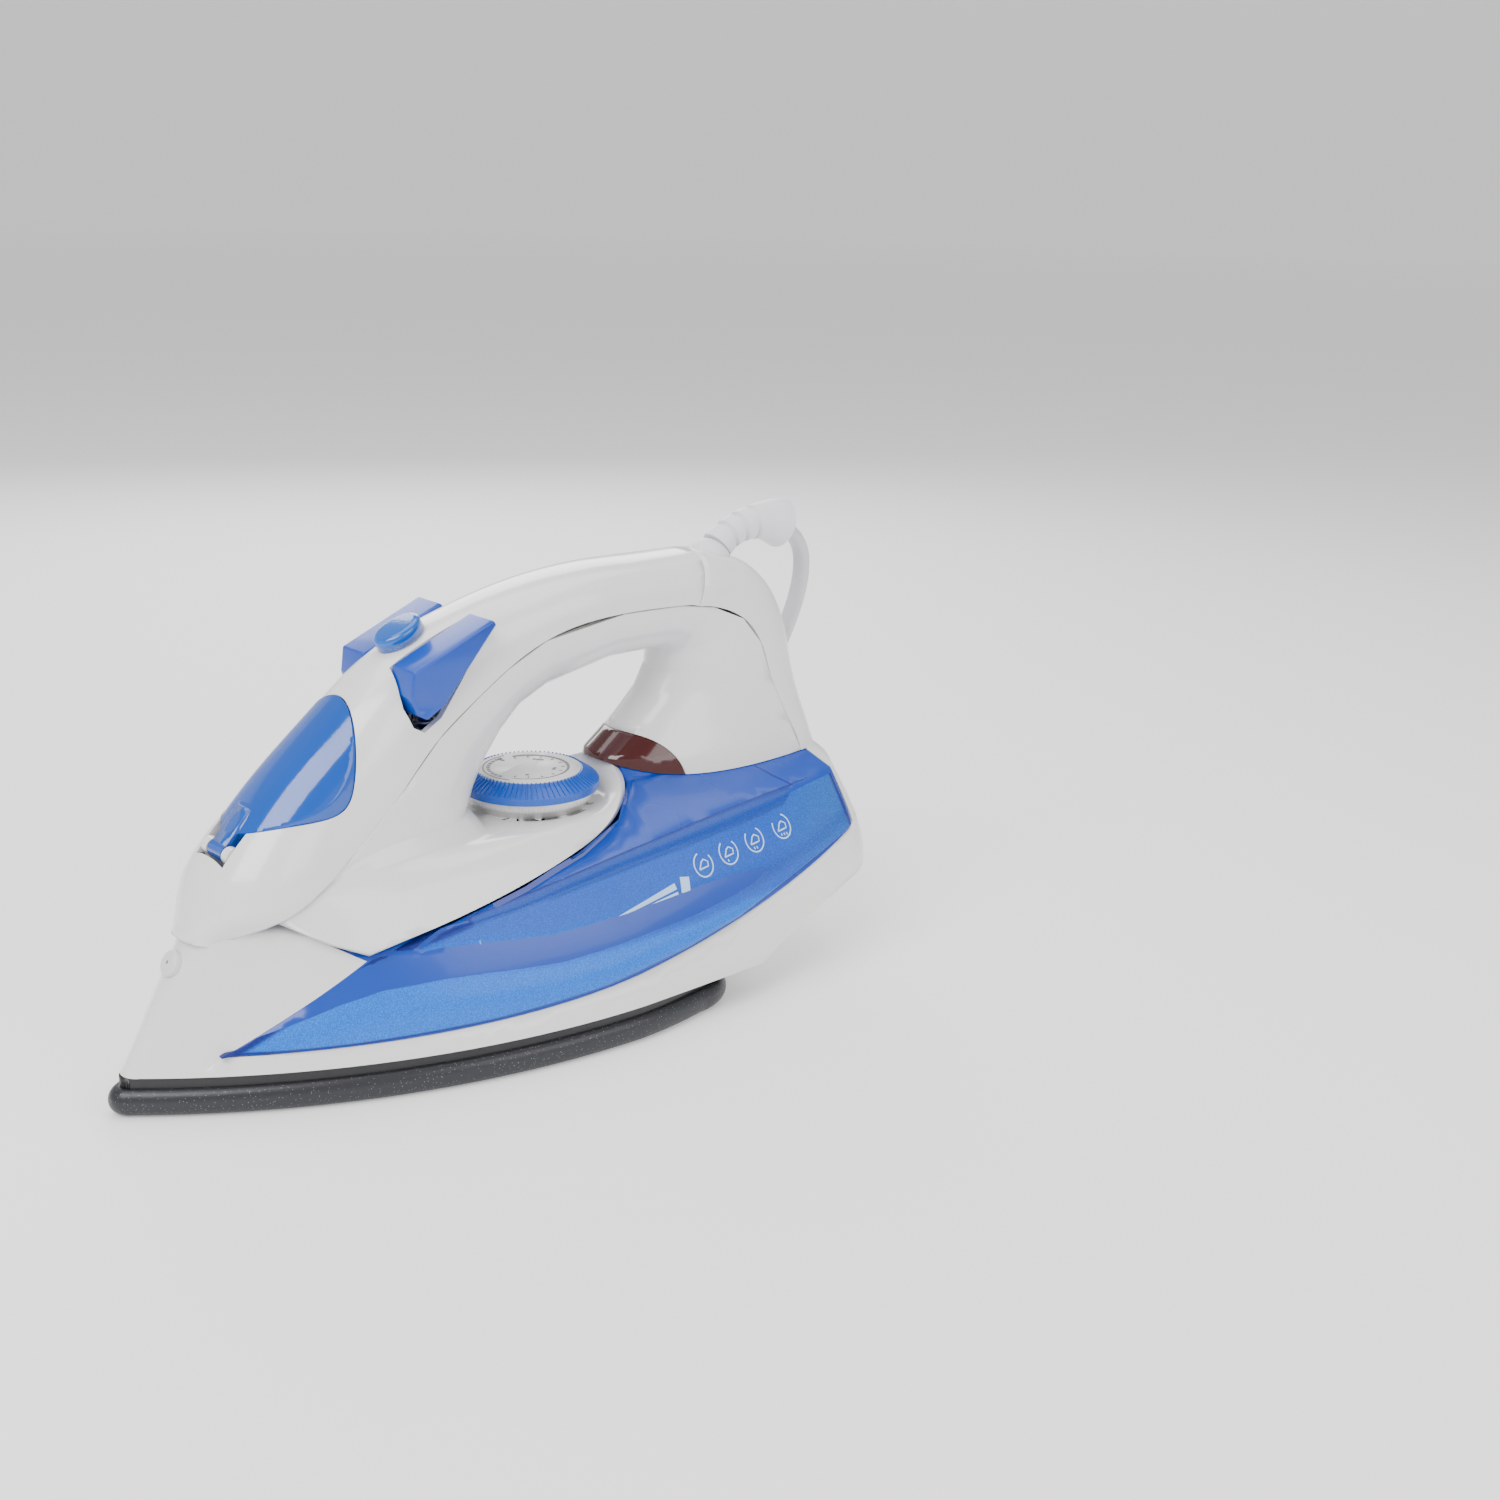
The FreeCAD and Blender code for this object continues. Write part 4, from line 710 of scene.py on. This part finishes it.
def makeGuardSleeve():
    # flexible sleeve in segments with slots between them, opening into a bell
    work = bmesh.new()
    steps, count = guard["steps"], guard["around"]
    shares = [0.22 + 0.78 * k / steps for k in range(steps + 1)]
    rows = []
    for share in shares:
        radius = np.interp(share, [p[0] for p in guard["radii"]], [p[1] for p in guard["radii"]])
        for slotAt in guard["slots"]:
            radius -= 1.25 * (1 - easeIn(abs(share - slotAt), 0.012, 0.028))
        rows.append((share, radius))
    rows += [(0.995, 7.9), (0.97, 7.0), (0.93, 5.9), (0.88, guard["bore"] + 0.3)]
    rows += [(share, guard["bore"]) for share in (0.8, 0.6, 0.4, 0.22)]
    rings = []
    for share, radius in rows:
        middle = guardPath(share)
        along = (guardPath(min(share + 0.02, 1.0)) - guardPath(min(share, 0.98))).normalized()
        up = Vector((1, 0, 0)).cross(along).normalized()
        ring = []
        for k in range(count):
            turn = 2 * math.pi * k / count
            p = middle + Vector((1, 0, 0)) * radius * math.cos(turn) + up * radius * math.sin(turn)
            ring.append(work.verts.new(at(*p)))
        rings.append(ring)
    joinRings(work, rings + [rings[0]])
    mesh = meshFrom("guardSleeve", work)
    piece = addPiece("guardSleeve", mesh, finishes["white_matte"], "cord_guard", 40.0)
    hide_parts("guard_sleeve")
    bpy.data.objects.remove(bpy.data.objects["guard_sleeve_look"])


sides = makeTankSides()
makeTankPrints(sides)
makeTankShadowAndWall()
makeDialMarks()
makeDialRibs()
makeGuardSleeve()
print("tank, dial and guard finished")


cordSize = {"width": 6.4, "thick": 4.2}
route = [(0, 252.48, 144.17), (0, 262.98, 138.67), (-4, 269, 122), (-16, 272, 98), (-33, 273, 70),
         (-52, 270, 40), (-72, 262, 15), (-96, 250, 3.8), (-122, 245, 3.8), (-141, 236.4, 3.8)]
coil = {"middle": (-124.0, 196.0), "radius": 42.0, "low": 4.6, "turns": 5.15, "step": 6.6}
tail = [(-168, 184, 8), (-169.5, 166, 8), (-163, 149, 9), (-151, 134, 12), (-135, 124, 16), (-118, 120, 18)]


def coilPoints():
    # neat turns beside and on each other, wound out and back in two layers
    cells = [(4.5, 0), (-2.0, 0), (-5.6, 0.9), (-2.4, 1.8), (4.0, 1.8), (6.6, 0.95), (-3.9, 0.95)]
    points = []
    perTurn = 14
    start = math.radians(112.0)
    total = int(coil["turns"] * perTurn) + 1
    for i in range(1, total):
        turn = i / perTurn
        k = min(int(turn), len(cells) - 2)
        share = turn - k
        out = cells[k][0] + (cells[k + 1][0] - cells[k][0]) * share
        up = cells[k][1] + (cells[k + 1][1] - cells[k][1]) * share
        angle = start + 2 * math.pi * turn
        r = coil["radius"] + out
        points.append((coil["middle"][0] + r * math.cos(angle), coil["middle"][1] + r * math.sin(angle),
                       coil["low"] + up * cordSize["thick"] * 1.3))
    return points


def cordLine():
    points = [at(*p) for p in route + coilPoints() + tail]
    data = bpy.data.curves.new("cordLine", "CURVE")
    data.dimensions = "3D"
    data.resolution_u = 6
    spline = data.splines.new("NURBS")
    spline.points.add(len(points) - 1)
    for point, place in zip(spline.points, points):
        point.co = (*place, 1.0)
    spline.order_u = 3
    spline.use_endpoint_u = True
    line = bpy.data.objects.new("cordLine", data)
    bpy.context.scene.collection.objects.link(line)
    bpy.context.view_layer.update()
    mesh = bpy.data.meshes.new_from_object(line.evaluated_get(bpy.context.evaluated_depsgraph_get()))
    path = [v.co.copy() for v in mesh.vertices]
    bpy.data.objects.remove(line)
    return path


def cordSection():
    # flat twin section with a shallow groove along both faces
    half = cordSize["width"] / 2000
    r = cordSize["thick"] / 2000
    section = []
    for i in range(20):
        a = 2 * math.pi * (i + 0.5) / 20
        x = (half - r) * (1 if math.cos(a) > 0 else -1) + r * math.cos(a)
        dip = 1 - 0.16 * math.exp(-(x / (half * 0.28)) ** 2)
        section.append((x, r * math.sin(a) * dip))
    return section


def makeCord():
    path = cordLine()
    section = cordSection()
    work = bmesh.new()
    side = Vector((1, 0, 0))
    rings = []
    for i, p in enumerate(path):
        along = (path[min(i + 1, len(path) - 1)] - path[max(i - 1, 0)]).normalized()
        side = (side - along * side.dot(along)).normalized()
        up = along.cross(side)
        rings.append([work.verts.new(p + side * x + up * y) for x, y in section])
    count = len(section)
    for a, b in zip(rings, rings[1:]):
        for k in range(count):
            work.faces.new((a[k], a[(k + 1) % count], b[(k + 1) % count], b[k]))
    work.faces.new(rings[0][::-1])
    work.faces.new(rings[-1])
    bmesh.ops.recalc_face_normals(work, faces=work.faces)
    mesh = bpy.data.meshes.new("powerCord")
    work.to_mesh(mesh)
    work.free()
    smoothByAngle(mesh, 60)
    piece = bpy.data.objects.new("powerCord", mesh)
    bpy.context.scene.collection.objects.link(piece)
    setFinish(piece, finishes["cord_grey"])
    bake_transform(piece)
    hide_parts("power_cord", "cord_coil", "cord_tail")
    return piece


makeCord()
print("cord made")
